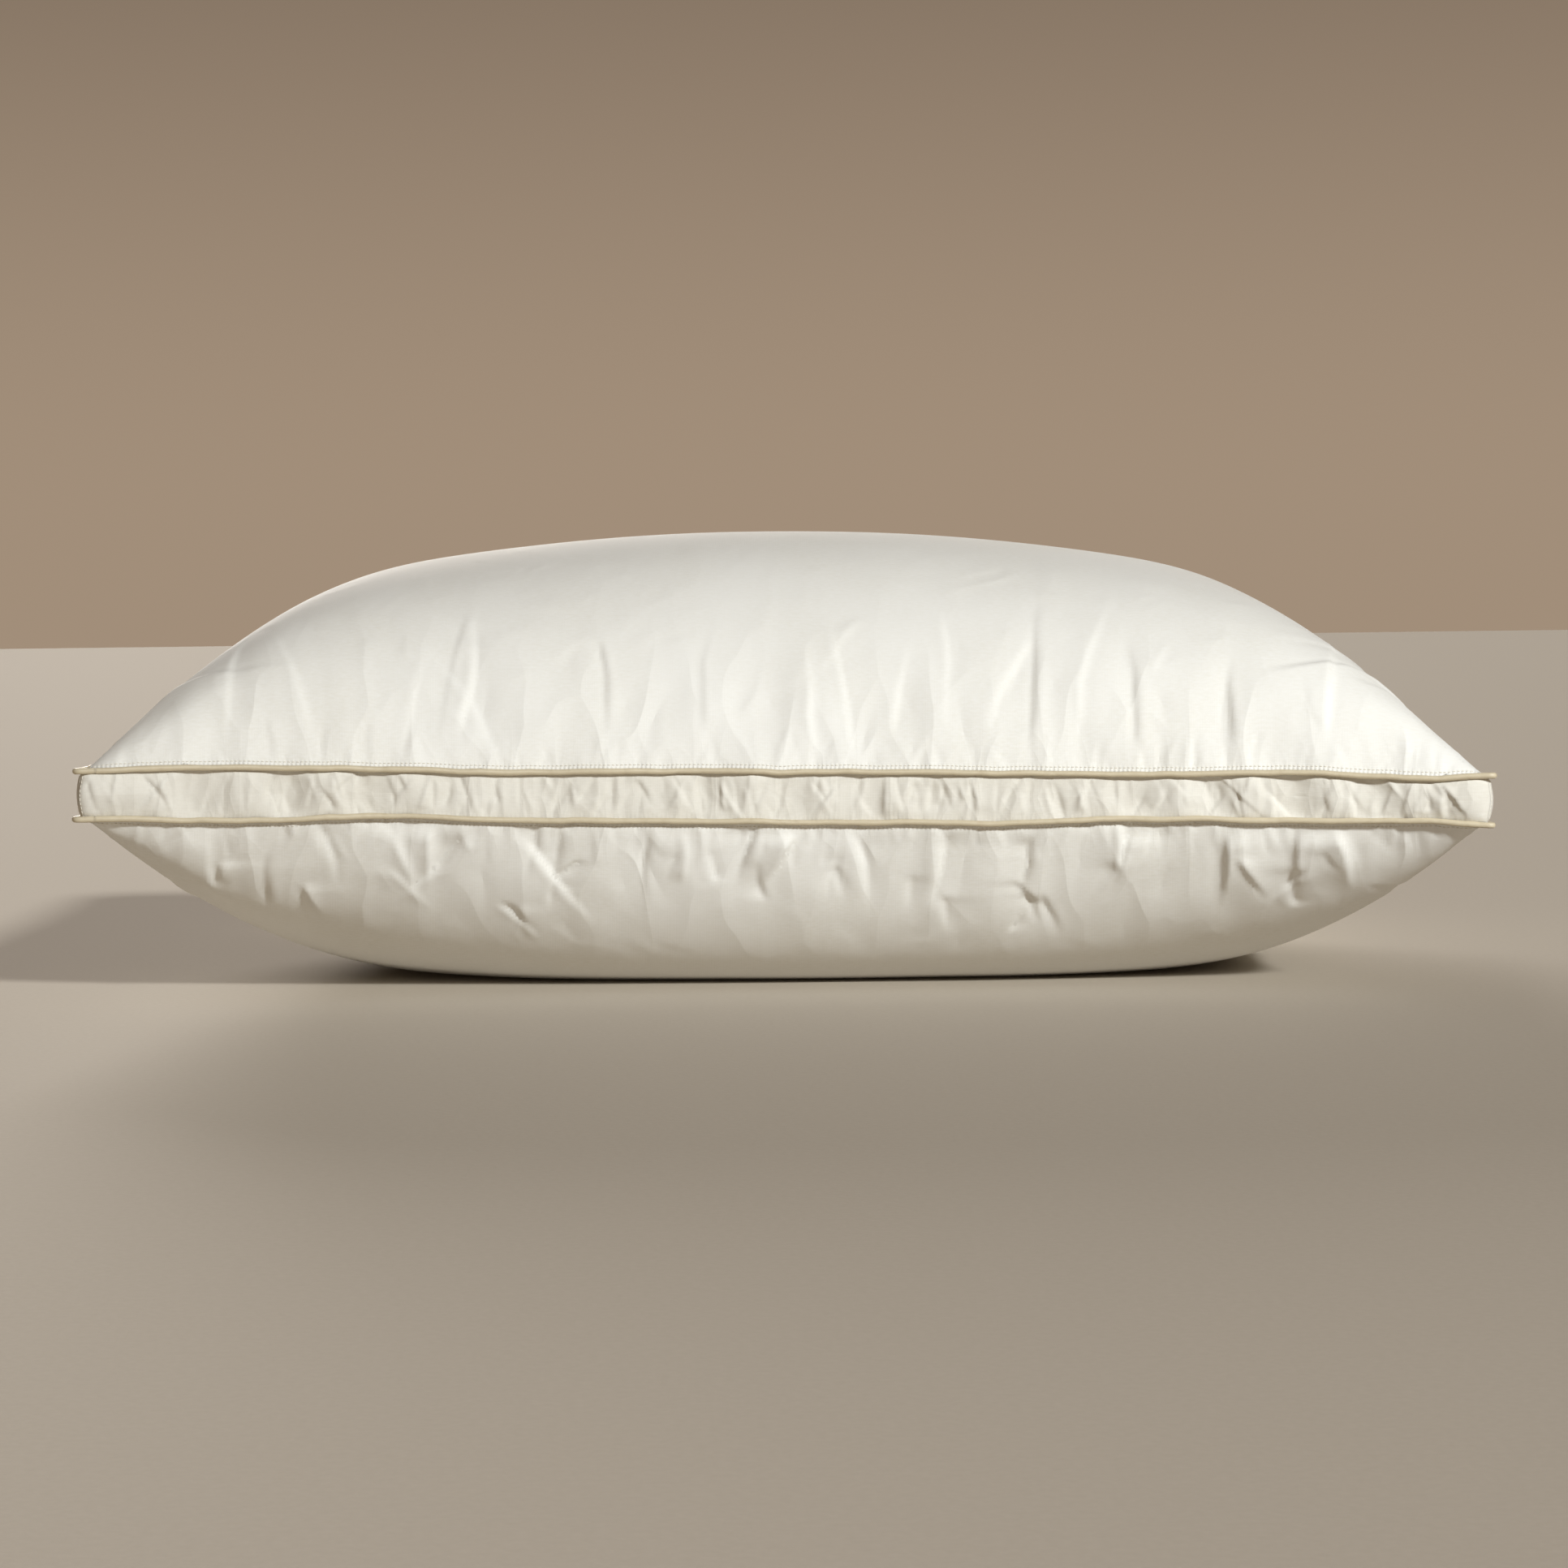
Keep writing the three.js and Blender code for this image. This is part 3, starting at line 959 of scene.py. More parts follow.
class SewnCase:
    """The case as a net of points: two panels and the gusset round them.

    Threads keep their length, the filling presses outward, and the surface below holds it up.
    """

    POINT_MASS = 0.00864  # kilograms; heavy, so that the pressure moves points gently
    CLOTH_WEIGHT = 0.15  # kilograms per square metre
    STEP = 1 / 500
    DRAG = 0.02
    SHEAR = 0.6
    GRIP = 0.7
    PATCH_WAVES = (0.045, 0.02)
    PATCH_SHARE = 0.6  # the finer patches against the broader ones
    LUMP_WAVE = 0.09
    SEAM_WAVES = (0.06, 0.024)
    SEAM_SHARES = (0.7, 0.5)
    MOST_EASE = 0.09
    GUSSET_WAVE = 0.04
    GUSSET_LIMITS = (-0.02, 0.1)
    START_SHRINK = 0.03
    START_WAISTS = (0.05, 0.12)  # how far the short and the long sides start drawn in
    START_ROUNDNESS = 0.6
    SEED = 7

    def __init__(self, pattern: Pattern, filling: Filling, spacing: float) -> None:
        """Cuts the cloth at one spacing.

        Args:
            pattern: The flat sizes.
            filling: What presses on the cloth.
            spacing: Distance between points, in metres.
        """
        self.pattern = pattern
        self.filling = filling
        self.nx = 2 * round(pattern.length / spacing / 2)
        self.ny = 2 * round(pattern.width / spacing / 2)
        self.ng = max(2, round(pattern.gusset / spacing))
        self.count = 2 * (self.nx + self.ny)
        self.dx = pattern.length / self.nx
        self.dy = pattern.width / self.ny
        self.dg = pattern.gusset / self.ng
        self.panels = np.zeros((2, self.nx + 1, self.ny + 1, 3), np.float32)
        self.ring = np.zeros((self.ng + 1, self.count, 3), np.float32)
        self._cut()

    @property
    def corners(self) -> list[int]:
        """Columns of the ring at the four corners, anticlockwise from the front left."""
        return [0, self.nx, self.nx + self.ny, 2 * self.nx + self.ny]

    def _cut(self) -> None:
        """Sets the length at rest of every thread, with the fullness eased in."""
        pattern, nx, ny = self.pattern, self.nx, self.ny
        rng = np.random.default_rng(self.SEED)
        round_it = 2 * (pattern.length + pattern.width)
        steps = np.concatenate([np.full(nx, self.dx), np.full(ny, self.dy)] * 2)
        size = (pattern.length, pattern.width)
        self.rest_x = np.full((2, nx, ny + 1), self.dx, np.float32)
        self.rest_y = np.full((2, nx + 1, ny), self.dy, np.float32)
        self.rest_ring = np.empty((self.ng + 1, self.count), np.float32)
        self.lumps = np.ones((2, nx, ny), np.float32)
        for side in (0, 1):
            patches = smooth_field(rng, nx + 1, ny + 1, size, self.PATCH_WAVES[0])
            finer = smooth_field(rng, nx + 1, ny + 1, size, self.PATCH_WAVES[1])
            patches += self.PATCH_SHARE * finer
            full = 1 + pattern.patch_spread * patches
            self.rest_x[side] *= full[:-1]
            self.rest_y[side] *= full[:, :-1]
            lumps = smooth_field(rng, nx, ny, size, self.LUMP_WAVE)
            self.lumps[side] += self.filling.lumps * lumps
            broad, fine = (
                share * smooth_run(rng, self.count, round_it, wave)
                for share, wave in zip(self.SEAM_SHARES, self.SEAM_WAVES)
            )
            ease = pattern.seam_ease + pattern.seam_ease_spread * (broad + fine)
            seam = steps * (1 - np.clip(ease, 0.0, self.MOST_EASE))
            self._set_seam(side, seam)
        gathers = np.random.default_rng(self.SEED + 5)
        extra = pattern.gusset_ease + pattern.gusset_spread * smooth_run(
            gathers, self.count, round_it, self.GUSSET_WAVE
        )
        self.rest_ring[1:-1] = steps * (1 + np.clip(extra, *self.GUSSET_LIMITS))
        self.rest_across = np.float32(self.dg)
        self.rest_bias = np.float32(math.hypot(self.dx, self.dy))
        self.rest_ring_bias = np.hypot(self.dg, steps).astype(np.float32)

    def _set_seam(self, side: int, seam: Array) -> None:
        """Gives one panel's edges and its row of the ring the same lengths at rest."""
        right, back, left = self.corners[1:]
        self.rest_x[side, :, 0] = seam[:right]
        self.rest_y[side, -1, :] = seam[right:back]
        self.rest_x[side, :, -1] = seam[back:left][::-1]
        self.rest_y[side, 0, :] = seam[left:][::-1]
        self.rest_ring[0 if side == 0 else -1] = seam

    def start(self, rise: float) -> None:
        """Lays the case out as a low lens, just filled enough to open.

        Args:
            rise: Height of each panel's middle over its edge.
        """
        pattern = self.pattern
        u = np.linspace(-1, 1, self.nx + 1)[:, None]
        v = np.linspace(-1, 1, self.ny + 1)[None]
        end_waist, side_waist = self.START_WAISTS
        x = u * pattern.length / 2 * (1 - self.START_SHRINK - end_waist * (1 - v**2))
        y = v * pattern.width / 2 * (1 - self.START_SHRINK - side_waist * (1 - u**2))
        swell = rise * ((1 - u**2) * (1 - v**2)) ** self.START_ROUNDNESS
        self.panels[0] = np.stack([x, y, rise + pattern.gusset + swell], -1)
        self.panels[1] = np.stack([x, y, rise - swell], -1)
        share = np.linspace(0, 1, self.ng + 1)[:, None, None]
        self.ring[:] = self.rim(0) * (1 - share) + self.rim(1) * share

    def rim(self, side: int) -> Array:
        """One panel's edge as a loop, anticlockwise from the front left corner."""
        p = self.panels[side]
        return np.concatenate([p[:-1, 0], p[-1, :-1], p[:0:-1, -1], p[0, :0:-1]])

    def _set_rim(self, side: int, loop: Array) -> None:
        """Puts a loop back as one panel's edge."""
        p = self.panels[side]
        right, back, left = self.corners[1:]
        p[:-1, 0] = loop[:right]
        p[-1, :-1] = loop[right:back]
        p[:0:-1, -1] = loop[back:left]
        p[0, :0:-1] = loop[left:]

    def _press(self) -> tuple[Array, Array]:
        """The filling's push and the cloth's weight on each point, in newtons.

        Returns:
            The forces on the panels and on the ring.
        """
        p, filling = self.panels, self.filling
        top = p[..., 2].max()
        push = 0.5 * np.cross(p[:, 1:, 1:] - p[:, :-1, :-1], p[:, :-1, 1:] - p[:, 1:, :-1])
        push[1] *= -1
        depth = top - 0.5 * (p[:, 1:, 1:, 2] + p[:, :-1, :-1, 2])
        pressure = filling.pressure * self.lumps + filling.density * GRAVITY * depth
        push *= (pressure / 4)[..., None]
        on_panels = np.zeros_like(p)
        far, near = slice(1, None), slice(None, -1)
        for i, j in ((far, far), (near, near), (near, far), (far, near)):
            on_panels[:, i, j] += push
        weight = self.CLOTH_WEIGHT * GRAVITY * self.dx
        on_panels[..., 2] -= weight * self.dy
        ring, ahead = self.ring, np.roll(self.ring, -1, 1)
        push = 0.5 * np.cross(ahead[1:] - ring[:-1], ahead[:-1] - ring[1:])
        depth = top - 0.5 * (ring[1:, :, 2] + ahead[:-1, :, 2])
        push *= ((filling.pressure + filling.density * GRAVITY * depth) / 4)[..., None]
        push += np.roll(push, 1, 1)
        on_ring = np.zeros_like(ring)
        on_ring[1:] += push
        on_ring[:-1] += push
        on_ring[..., 2] -= weight * self.dg
        return on_panels, on_ring

    def _hold_threads(self, bend: float) -> None:
        """Brings every thread back towards its length, and smooths the sharpest bends."""
        p = self.panels
        for s in (0, 1):
            pull(p[:, s:-1:2], p[:, s + 1 :: 2], self.rest_x[:, s::2])
            pull(p[:, :, s:-1:2], p[:, :, s + 1 :: 2], self.rest_y[:, :, s::2])
            pull(p[:, s:-1:2, :-1], p[:, s + 1 :: 2, 1:], self.rest_bias, self.SHEAR)
            pull(p[:, s:-1:2, 1:], p[:, s + 1 :: 2, :-1], self.rest_bias, self.SHEAR)
            pull(self.ring[s:-1:2], self.ring[s + 1 :: 2], self.rest_across)
            self._hold_ring(s)
        for grid in (p, p.swapaxes(1, 2)):
            curl = grid[:, :-2] - 2 * grid[:, 1:-1] + grid[:, 2:]
            curl *= bend / 6
            grid[:, :-2] -= curl
            grid[:, 2:] -= curl
            grid[:, 1:-1] += 2 * curl
        curl = np.roll(self.ring, 1, 1) - 2 * self.ring + np.roll(self.ring, -1, 1)
        curl[[0, -1]] = 0
        curl *= bend / 6
        self.ring += 2 * curl - np.roll(curl, 1, 1) - np.roll(curl, -1, 1)

    def _hold_ring(self, shift: int) -> None:
        """Brings every other pair of the ring's columns back towards its length."""
        turned = np.roll(self.ring, -shift, 1)
        along = np.roll(self.rest_ring, -shift, 1)[:, ::2]
        bias = np.roll(self.rest_ring_bias, -shift)[::2]
        pull(turned[:, ::2], turned[:, 1::2], along)
        for k in (0, 1):
            pull(turned[:-1][k::2, ::2], turned[1:][k::2, 1::2], bias, self.SHEAR)
            pull(turned[1:][k::2, ::2], turned[:-1][k::2, 1::2], bias, self.SHEAR)
        self.ring[:] = np.roll(turned, shift, 1)

    def _sew(self, stiffness: float) -> None:
        """Joins each panel's edge to the ring, as stiff as the piping between them."""
        for side, row in ((0, 0), (1, -1)):
            seam = 0.5 * (self.rim(side) + self.ring[row])
            smooth = 0.5 * (np.roll(seam, 1, 0) + np.roll(seam, -1, 0)) - seam
            smooth[self.corners] = 0
            seam += stiffness * smooth
            self.ring[row] = seam
            self._set_rim(side, seam)

    def settle(self, stage: Settling) -> None:
        """Lets the case fill and come to rest.

        Args:
            stage: How long, and how stiff the cloth and the piping are.
        """
        rng = np.random.default_rng(self.SEED + self.nx)
        self.panels += rng.normal(0, stage.jitter, self.panels.shape).astype(np.float32)
        panel_speed, ring_speed = np.zeros_like(self.panels), np.zeros_like(self.ring)
        for _ in range(stage.steps):
            on_panels, on_ring = self._press()
            panel_speed += on_panels * (self.STEP / self.POINT_MASS)
            ring_speed += on_ring * (self.STEP / self.POINT_MASS)
            old_panels, old_ring = self.panels.copy(), self.ring.copy()
            self.panels += panel_speed * (self.STEP * (1 - self.DRAG))
            self.ring += ring_speed * (self.STEP * (1 - self.DRAG))
            self._hold_threads(stage.bend)
            self._sew(stage.piping_stiffness)
            under = self.panels[..., 2] < 0
            held = self.panels[under] * (1 - self.GRIP) + old_panels[under] * self.GRIP
            held[:, 2] = 0
            self.panels[under] = held
            panel_speed = (self.panels - old_panels) / self.STEP
            ring_speed = (self.ring - old_ring) / self.STEP
        log.info("settled at %.1f mm: crown %.1f mm", self.dx / MM, self.panels[..., 2].max() / MM)

    def finer(self, spacing: float) -> "SewnCase":
        """The same shape on a closer net.

        Args:
            spacing: The new distance between points.

        Returns:
            A new case.
        """
        new = SewnCase(self.pattern, self.filling, spacing)
        new.panels[:] = resample(resample(self.panels, new.nx, 1), new.ny, 2)
        closed = np.concatenate([self.ring, self.ring[:, :1]], 1)
        ends = [*self.corners, self.count]
        counts = [new.nx, new.ny, new.nx, new.ny]
        runs = [
            resample(closed[:, ends[k] : ends[k + 1] + 1], counts[k], 1)[:, :-1] for k in range(4)
        ]
        new.ring[:] = resample(np.concatenate(runs, 1), new.ng, 0)
        new.ring[0], new.ring[-1] = new.rim(0), new.rim(1)
        return new


def ease_in(values: Array, low: float, high: float) -> Array:
    """0 up to the low value and 1 from the high value, turning smoothly between them."""
    t = np.clip((values - low) / (high - low), 0, 1)
    return t * t * (3 - 2 * t)


@dataclass(frozen=True)
class Folds:
    """A family of separate creases that percale takes where it is drawn into a seam.

    Each one is a groove or a ridge, steep on one side and easy on the other. It wavers, and
    ends in a fading line or in a deep pinch. Pairs are the least and the most, and shares are
    of its own length, depth or steep side.
    """

    spacing: float
    length: tuple[float, float]
    depth: tuple[float, float]
    start: tuple[float, float] = (0.0, 0.0)  # away from the seam
    steep: tuple[float, float] = (1.4 * MM, 2.4 * MM)
    easy: tuple[float, float] = (6.0 * MM, 15.0 * MM)
    slant: float = 0.25
    kink: tuple[float, float] = (0.3, 0.7)
    bend: float = 0.16
    waver: float = 0.014
    waves: tuple[float, float] = (1.2, 2.6)  # half waves over its length
    taper: float = 0.45
    rounding: float = 0.25
    crest: float = 0.15  # the low swell beside the steep side
    crest_place: float = 3.0
    crest_width: float = 2.2
    rise: float = 0.25
    fade: tuple[float, float] = (0.35, 1.1)
    pinch: tuple[float, float] = (0.82, 1.15)
    pinch_start: float = 0.3
    pinch_share: float = 0.3
    raised_share: float = 0.4
    margin: float = 55.0 * MM
    steps: tuple[float, float] = (0.3, 1.7)

    def heights(self, rng: Rng, along: Array, away: Array, run: float) -> Array:
        """Height of the creased cloth over the smooth cloth.

        Args:
            rng: Where the random values come from.
            along: Each point's place along the seam, from its middle.
            away: Each point's distance from the seam.
            run: The seam's length.

        Returns:
            A height for each point, in metres.
        """
        total = np.zeros(np.broadcast(along, away).shape)
        place = -run / 2 + self.margin + rng.uniform(0, self.spacing)
        while place < run / 2 - self.margin:
            total += self._one(rng, along - place, away)
            place += self.spacing * rng.uniform(*self.steps)
        return total

    def _one(self, rng: Rng, along: Array, away: Array) -> Array:
        """Height of one crease, with its foot at 0 along the seam."""
        length, depth = rng.uniform(*self.length), rng.uniform(*self.depth)
        steep, easy = rng.uniform(*self.steep), rng.uniform(*self.easy)
        turn = 1.0 if rng.random() < 0.5 else -1.0
        side = -1.0 if rng.random() < self.raised_share else 1.0
        t = (away - rng.uniform(*self.start)) / length
        kink, bend = rng.uniform(*self.kink), rng.normal(0, self.bend) * length
        wave = rng.normal(0, self.waver) * length
        middle = rng.normal(0, self.slant) * away + bend * np.clip(t - kink, 0, 1)
        turns = rng.uniform(*self.waves) * t + rng.uniform(0, 2)
        middle = middle + wave * np.sin(math.pi * turns)
        q = turn * (along - middle)
        narrow = 1 - self.taper * np.clip(t, 0, 1)
        width = np.where(q > 0, steep, easy) * narrow
        rounding = self.rounding * steep
        groove = -np.exp(-(np.hypot(q, rounding) - rounding) / width)
        past_crest = (q - self.crest_place * steep) / (self.crest_width * steep * narrow)
        crest = self.crest * np.exp(-(past_crest**2))
        if rng.random() < self.pinch_share:
            deeper = self.pinch_start + (1 - self.pinch_start) * np.clip(t, 0, 1)
            strength = deeper * (1 - ease_in(t, *self.pinch))
        else:
            strength = 1 - ease_in(t, *self.fade)
        return side * depth * ease_in(t, 0.0, self.rise) * strength * (groove + crest)


UPPER_FOLDS = (
    Folds(
        spacing=42 * MM,
        length=(45 * MM, 120 * MM),
        depth=(0.7 * MM, 1.8 * MM),
        start=(0.0, 18 * MM),
        steep=(1.1 * MM, 1.8 * MM),
        easy=(12 * MM, 30 * MM),
        slant=0.16,
        pinch_share=0.15,
    ),
    Folds(
        spacing=9 * MM,
        length=(7 * MM, 24 * MM),
        depth=(0.2 * MM, 0.7 * MM),
        steep=(1.0 * MM, 1.6 * MM),
        easy=(2.5 * MM, 6.0 * MM),
        slant=0.35,
        margin=16 * MM,
    ),
    Folds(
        spacing=75 * MM,
        length=(18 * MM, 40 * MM),
        depth=(0.3 * MM, 0.8 * MM),
        start=(15 * MM, 75 * MM),
        easy=(8 * MM, 18 * MM),
        slant=0.55,
    ),
)
LOWER_FOLDS = (
    Folds(
        spacing=30 * MM,
        length=(24 * MM, 58 * MM),
        depth=(1.8 * MM, 4.0 * MM),
        start=(0.0, 8 * MM),
        steep=(1.4 * MM, 2.3 * MM),
        easy=(8.0 * MM, 18.0 * MM),
        slant=0.3,
        pinch_share=0.4,
    ),
    replace(UPPER_FOLDS[1], spacing=8 * MM, depth=(0.3 * MM, 0.9 * MM)),
    Folds(
        spacing=26 * MM,
        length=(14 * MM, 32 * MM),
        depth=(0.8 * MM, 2.1 * MM),
        start=(14 * MM, 48 * MM),
        steep=(1.2 * MM, 2.0 * MM),
        easy=(5.0 * MM, 12.0 * MM),
        slant=0.7,
    ),
)
GUSSET_FOLDS = Folds(
    spacing=9 * MM,
    length=(11 * MM, 28 * MM),
    depth=(0.6 * MM, 1.7 * MM),
    start=(-3 * MM, 5 * MM),
    steep=(0.8 * MM, 1.4 * MM),
    easy=(3.0 * MM, 7.0 * MM),
    slant=0.45,
    margin=6 * MM,
)


class FilledCase:
    """The settled case, scaled to the frame, from which every piece takes its place."""

    START_RISE = 0.09
    SHOULDER_RAISE = 0.11  # share by which the shoulders near the two ends are raised
    SHOULDER_AT = 0.285  # metres from the middle
    SHOULDER_SPREAD = 0.085
    SHOULDER_EASE = 20 * MM
    UP_DOWN = ((0.9 * MM, 0.08), (0.3 * MM, 0.022), (0.12 * MM, 0.009))  # size and wavelength
    IN_OUT = ((0.7 * MM, 0.04),)
    STEADY = (4 * MM, 30 * MM)  # from a corner, where the sway sets in
    SWAY_REACH = 16 * MM  # from the seam, over which the cloth follows it
    SEAM_GAP = 0.6 * MM  # half the thickness of the piping's allowance, and a little clearance
    CORNER_GAP = 0.12 * MM  # between two strips of the gusset, for their seam
    CORNER_BULGE = 3.8 * MM  # how far the gathered corners of the gusset stand out
    BULGE_SPREAD = 13 * MM
    FACE_SPACING = 1.6 * MM  # across the long seams' creases
    EDGE_SPACING = 1.9 * MM
    MIDDLE_SPACING = 4.6 * MM
    MIDDLE_FROM = (70 * MM, 130 * MM)
    GUSSET_STEPS = 1.5  # pairs of points for each one of the net
    FLOOR_CLEAR = (2 * MM, 14 * MM)  # heights between which creases set in
    SEED = 19

    def __init__(self, pattern: Pattern, filling: Filling, stages: tuple[Settling, ...]) -> None:
        """Fills and settles the case, fits it to the frame and puts in its folds.

        Args:
            pattern: The flat sizes.
            filling: What presses on the cloth.
            stages: The passes, from coarse to fine.
        """
        self.pattern = pattern
        net = SewnCase(pattern, filling, stages[0].spacing)
        net.start(self.START_RISE)
        net.settle(stages[0])
        for stage in stages[1:]:
            net = net.finer(stage.spacing)
            net.settle(stage)
        self.net = net
        self._fit_to_frame()
        self._sway_seams()
        half = pattern.length / 2
        self.face_x = np.linspace(-half, half, 2 * round(half / self.FACE_SPACING) + 1)
        self.face_y = self._columns(pattern.width)
        self.panel_faces = [self._panel_face(side) for side in (0, 1)]
        self.gusset_faces = [self._gusset_face(strip) for strip in range(4)]

    def _columns(self, width: float) -> Array:
        """Places across a panel, close together near its long seams and wide in its middle."""
        fine = np.linspace(-width / 2, width / 2, 2001)
        wider = ease_in(width / 2 - np.abs(fine), *self.MIDDLE_FROM)
        spacing = self.EDGE_SPACING + (self.MIDDLE_SPACING - self.EDGE_SPACING) * wider
        count = 2 * round(width * np.mean(1 / spacing) / 2)
        lines = np.cumsum(1 / spacing)
        lines = (lines - lines[0]) / (lines[-1] - lines[0])
        return np.interp(np.linspace(0, 1, count + 1), lines, fine)

    def _fit_to_frame(self) -> None:
        """Scales the settled shape by the percent or so that it differs from the frame."""
        low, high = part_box("top_panel")
        panel = self.net.panels[0]
        half = np.array([(high.x - low.x) / 2, (high.y - low.y) / 2, high.z])
        corner = np.abs(panel[0, 0])
        scale = np.array([half[0] / corner[0], half[1] / corner[1], half[2] / panel[..., 2].max()])
        log.info("fit to the frame: %s", scale.round(4))
        self.net.panels *= scale.astype(np.float32)
        self.net.ring *= scale.astype(np.float32)
        panel = self.net.panels[0]
        seam_height = panel[0, 0, 2]
        from_shoulder = (np.abs(panel[..., 0]) - self.SHOULDER_AT) / self.SHOULDER_SPREAD
        shoulder = 1 + self.SHOULDER_RAISE * np.exp(-(from_shoulder**2))
        raised = seam_height + (panel[..., 2] - seam_height) * shoulder
        inside = ease_in(panel[..., 2] - seam_height, 0.0, self.SHOULDER_EASE)
        panel[..., 2] += inside * (raised - panel[..., 2])

    def _sway_seams(self) -> None:
        """Lets the seams wander a millimetre or so, as piping does, with the cloth beside them."""
        net = self.net
        rng = np.random.default_rng(self.SEED + 30)
        length = 2 * (self.pattern.length + self.pattern.width)
        columns, half = np.arange(net.count), net.count / 2
        away = [np.abs((columns - corner + half) % net.count - half) for corner in net.corners]
        steady = ease_in(np.min(away, 0) * net.dx, *self.STEADY)
        sways = []
        for side in (0, 1):
            rim = net.rim(side)
            out = unit(np.cross(np.roll(rim, -1, 0) - np.roll(rim, 1, 0), UP))
            up_down, in_out = (
                sum(size * smooth_run(rng, net.count, length, wave) for size, wave in swings)
                for swings in (self.UP_DOWN, self.IN_OUT)
            )
            sway = steady[:, None] * (up_down[:, None] * UP + in_out[:, None] * out)
            sways.append(sway)
            self._spread(net.panels[side], sway)
        share = np.linspace(0, 1, len(net.ring))[:, None, None]
        net.ring += (sways[0] * (1 - share) + sways[1] * share).astype(np.float32)

    def _spread(self, panel: Array, sway: Array) -> None:
        """Moves a panel's edges, and less and less of the cloth away from them."""
        net = self.net
        right, back, left = net.corners[1:]
        closed = np.concatenate([sway, sway[:1]])
        x, y = np.arange(net.nx + 1) * net.dx, np.arange(net.ny + 1) * net.dy
        fall_x, fall_y = (np.exp(-((at / self.SWAY_REACH) ** 2)) for at in (x, y))
        for moved in (
            closed[: right + 1, None] * fall_y[None, :, None],
            closed[None, right : back + 1] * fall_x[::-1, None, None],
            closed[back : left + 1][::-1, None] * fall_y[None, ::-1, None],
            closed[left:][None, ::-1] * fall_x[:, None, None],
        ):
            panel += moved.astype(np.float32)

    def seam(self, side: int) -> Array:
        """One seam line as a loop of points."""
        return self.net.rim(side).astype(float)

    def _panel_face(self, side: int) -> Array:
        """The outer face of one panel, folded, with its edge lifted off the seam line.

        Args:
            side: 0 for the upper panel, 1 for the lower.

        Returns:
            Points by row along x and column along y.
        """
        length, width = self.pattern.length, self.pattern.width
        face = resample(self.net.panels[side].astype(float), self.face_x / length + 0.5, 0)
        face = resample(face, self.face_y / width + 0.5, 1)
        x, y = self.face_x[:, None], self.face_y[None]
        rng = np.random.default_rng(self.SEED + side)
        height = np.zeros(face.shape[:2])
        for folds in UPPER_FOLDS if side == 0 else LOWER_FOLDS:
            for along, away, run in (
                (x, y + width / 2, length),
                (x, width / 2 - y, length),
                (y, x + length / 2, width),
                (y, length / 2 - x, width),
            ):
                height += folds.heights(rng, along, away, run)
        normals = grid_normals(face) * (1 if side == 0 else -1)
        clear_of_floor = ease_in(face[..., 2], *self.FLOOR_CLEAR)
        face += (height * clear_of_floor)[..., None] * normals
        lift = self.SEAM_GAP if side == 0 else -self.SEAM_GAP
        face[[0, -1], :, 2] += lift
        face[1:-1, [0, -1], 2] += lift
        return face

    def _gusset_face(self, strip: int) -> Array:
        """The outer face of one strip of the gusset, its edges drawn off the seam lines.

        Args:
            strip: Its place anticlockwise from the front.

        Returns:
            Points by row from top to bottom and column from corner to corner.
        """
        ring = self.net.ring.astype(float)
        closed = np.concatenate([ring, ring[:, :1]], 1)
        ends = [*self.net.corners, self.net.count]
        face = closed[:, ends[strip] : ends[strip + 1] + 1]
        for axis in (0, 1):
            face = resample(face, 2 * round(self.GUSSET_STEPS * (face.shape[axis] - 1)), axis)
        run = self.pattern.length if strip % 2 == 0 else self.pattern.width
        down = np.linspace(0, self.pattern.gusset, len(face))[:, None]
        along = np.linspace(-run / 2, run / 2, face.shape[1])[None]
        height = np.zeros(face.shape[:2])
        for seed, away in ((0, down), (4, self.pattern.gusset - down)):
            rng = np.random.default_rng(self.SEED + 10 + strip + seed)
            height += GUSSET_FOLDS.heights(rng, along, away, run)
        belly = np.sin(math.pi * np.clip(down / self.pattern.gusset, 0, 1))
        face += (height * belly**0.6)[..., None] * grid_normals(face)
        for column in (0, -1):
            diagonal = unit(np.sign(face[0, column]) * [1, 1, 0])
            near = np.exp(-(((along - along[0, column]) / self.BULGE_SPREAD) ** 2))
            face += (self.CORNER_BULGE * belly**0.8 * near)[..., None] * diagonal
        face[0, :, 2] -= self.SEAM_GAP
        face[-1, :, 2] += self.SEAM_GAP
        along_strip = unit(face[:, -1] - face[:, 0])
        face[:, 0] += along_strip * self.CORNER_GAP
        face[:, -1] -= along_strip * self.CORNER_GAP
        return face


# ---------------------------------------------------------------- cloth pieces


def with_allowance(
    grid: Array, ways: tuple[Array, Array, Array, Array], depths: tuple[float, ...]
) -> Array:
    """Adds a seam allowance round a grid of points.

    Args:
        grid: The cloth's points, by row and column.
        ways: Directions that the allowance takes from the first row, the last row, the first
            column and the last column, one for each point there.
        depths: Distance from the fold of each line of points added.

    Returns:
        The larger grid.
    """
    first, last, left, right = ways
    reach = np.array([0.0, *depths])
    rows = np.arange(-len(depths), len(grid) + len(depths))
    columns = np.arange(-len(depths), grid.shape[1] + len(depths))
    row, column = np.clip(rows, 0, len(grid) - 1), np.clip(columns, 0, grid.shape[1] - 1)
    by_row = np.where((rows < 0)[:, None, None], first[column][None], last[column][None])
    by_column = np.where((columns < 0)[None, :, None], left[row][:, None], right[row][:, None])
    by_row = by_row * reach[np.abs(rows - row)][:, None, None]
    by_column = by_column * reach[np.abs(columns - column)][None, :, None]
    return grid[np.ix_(row, column)] + by_row + by_column


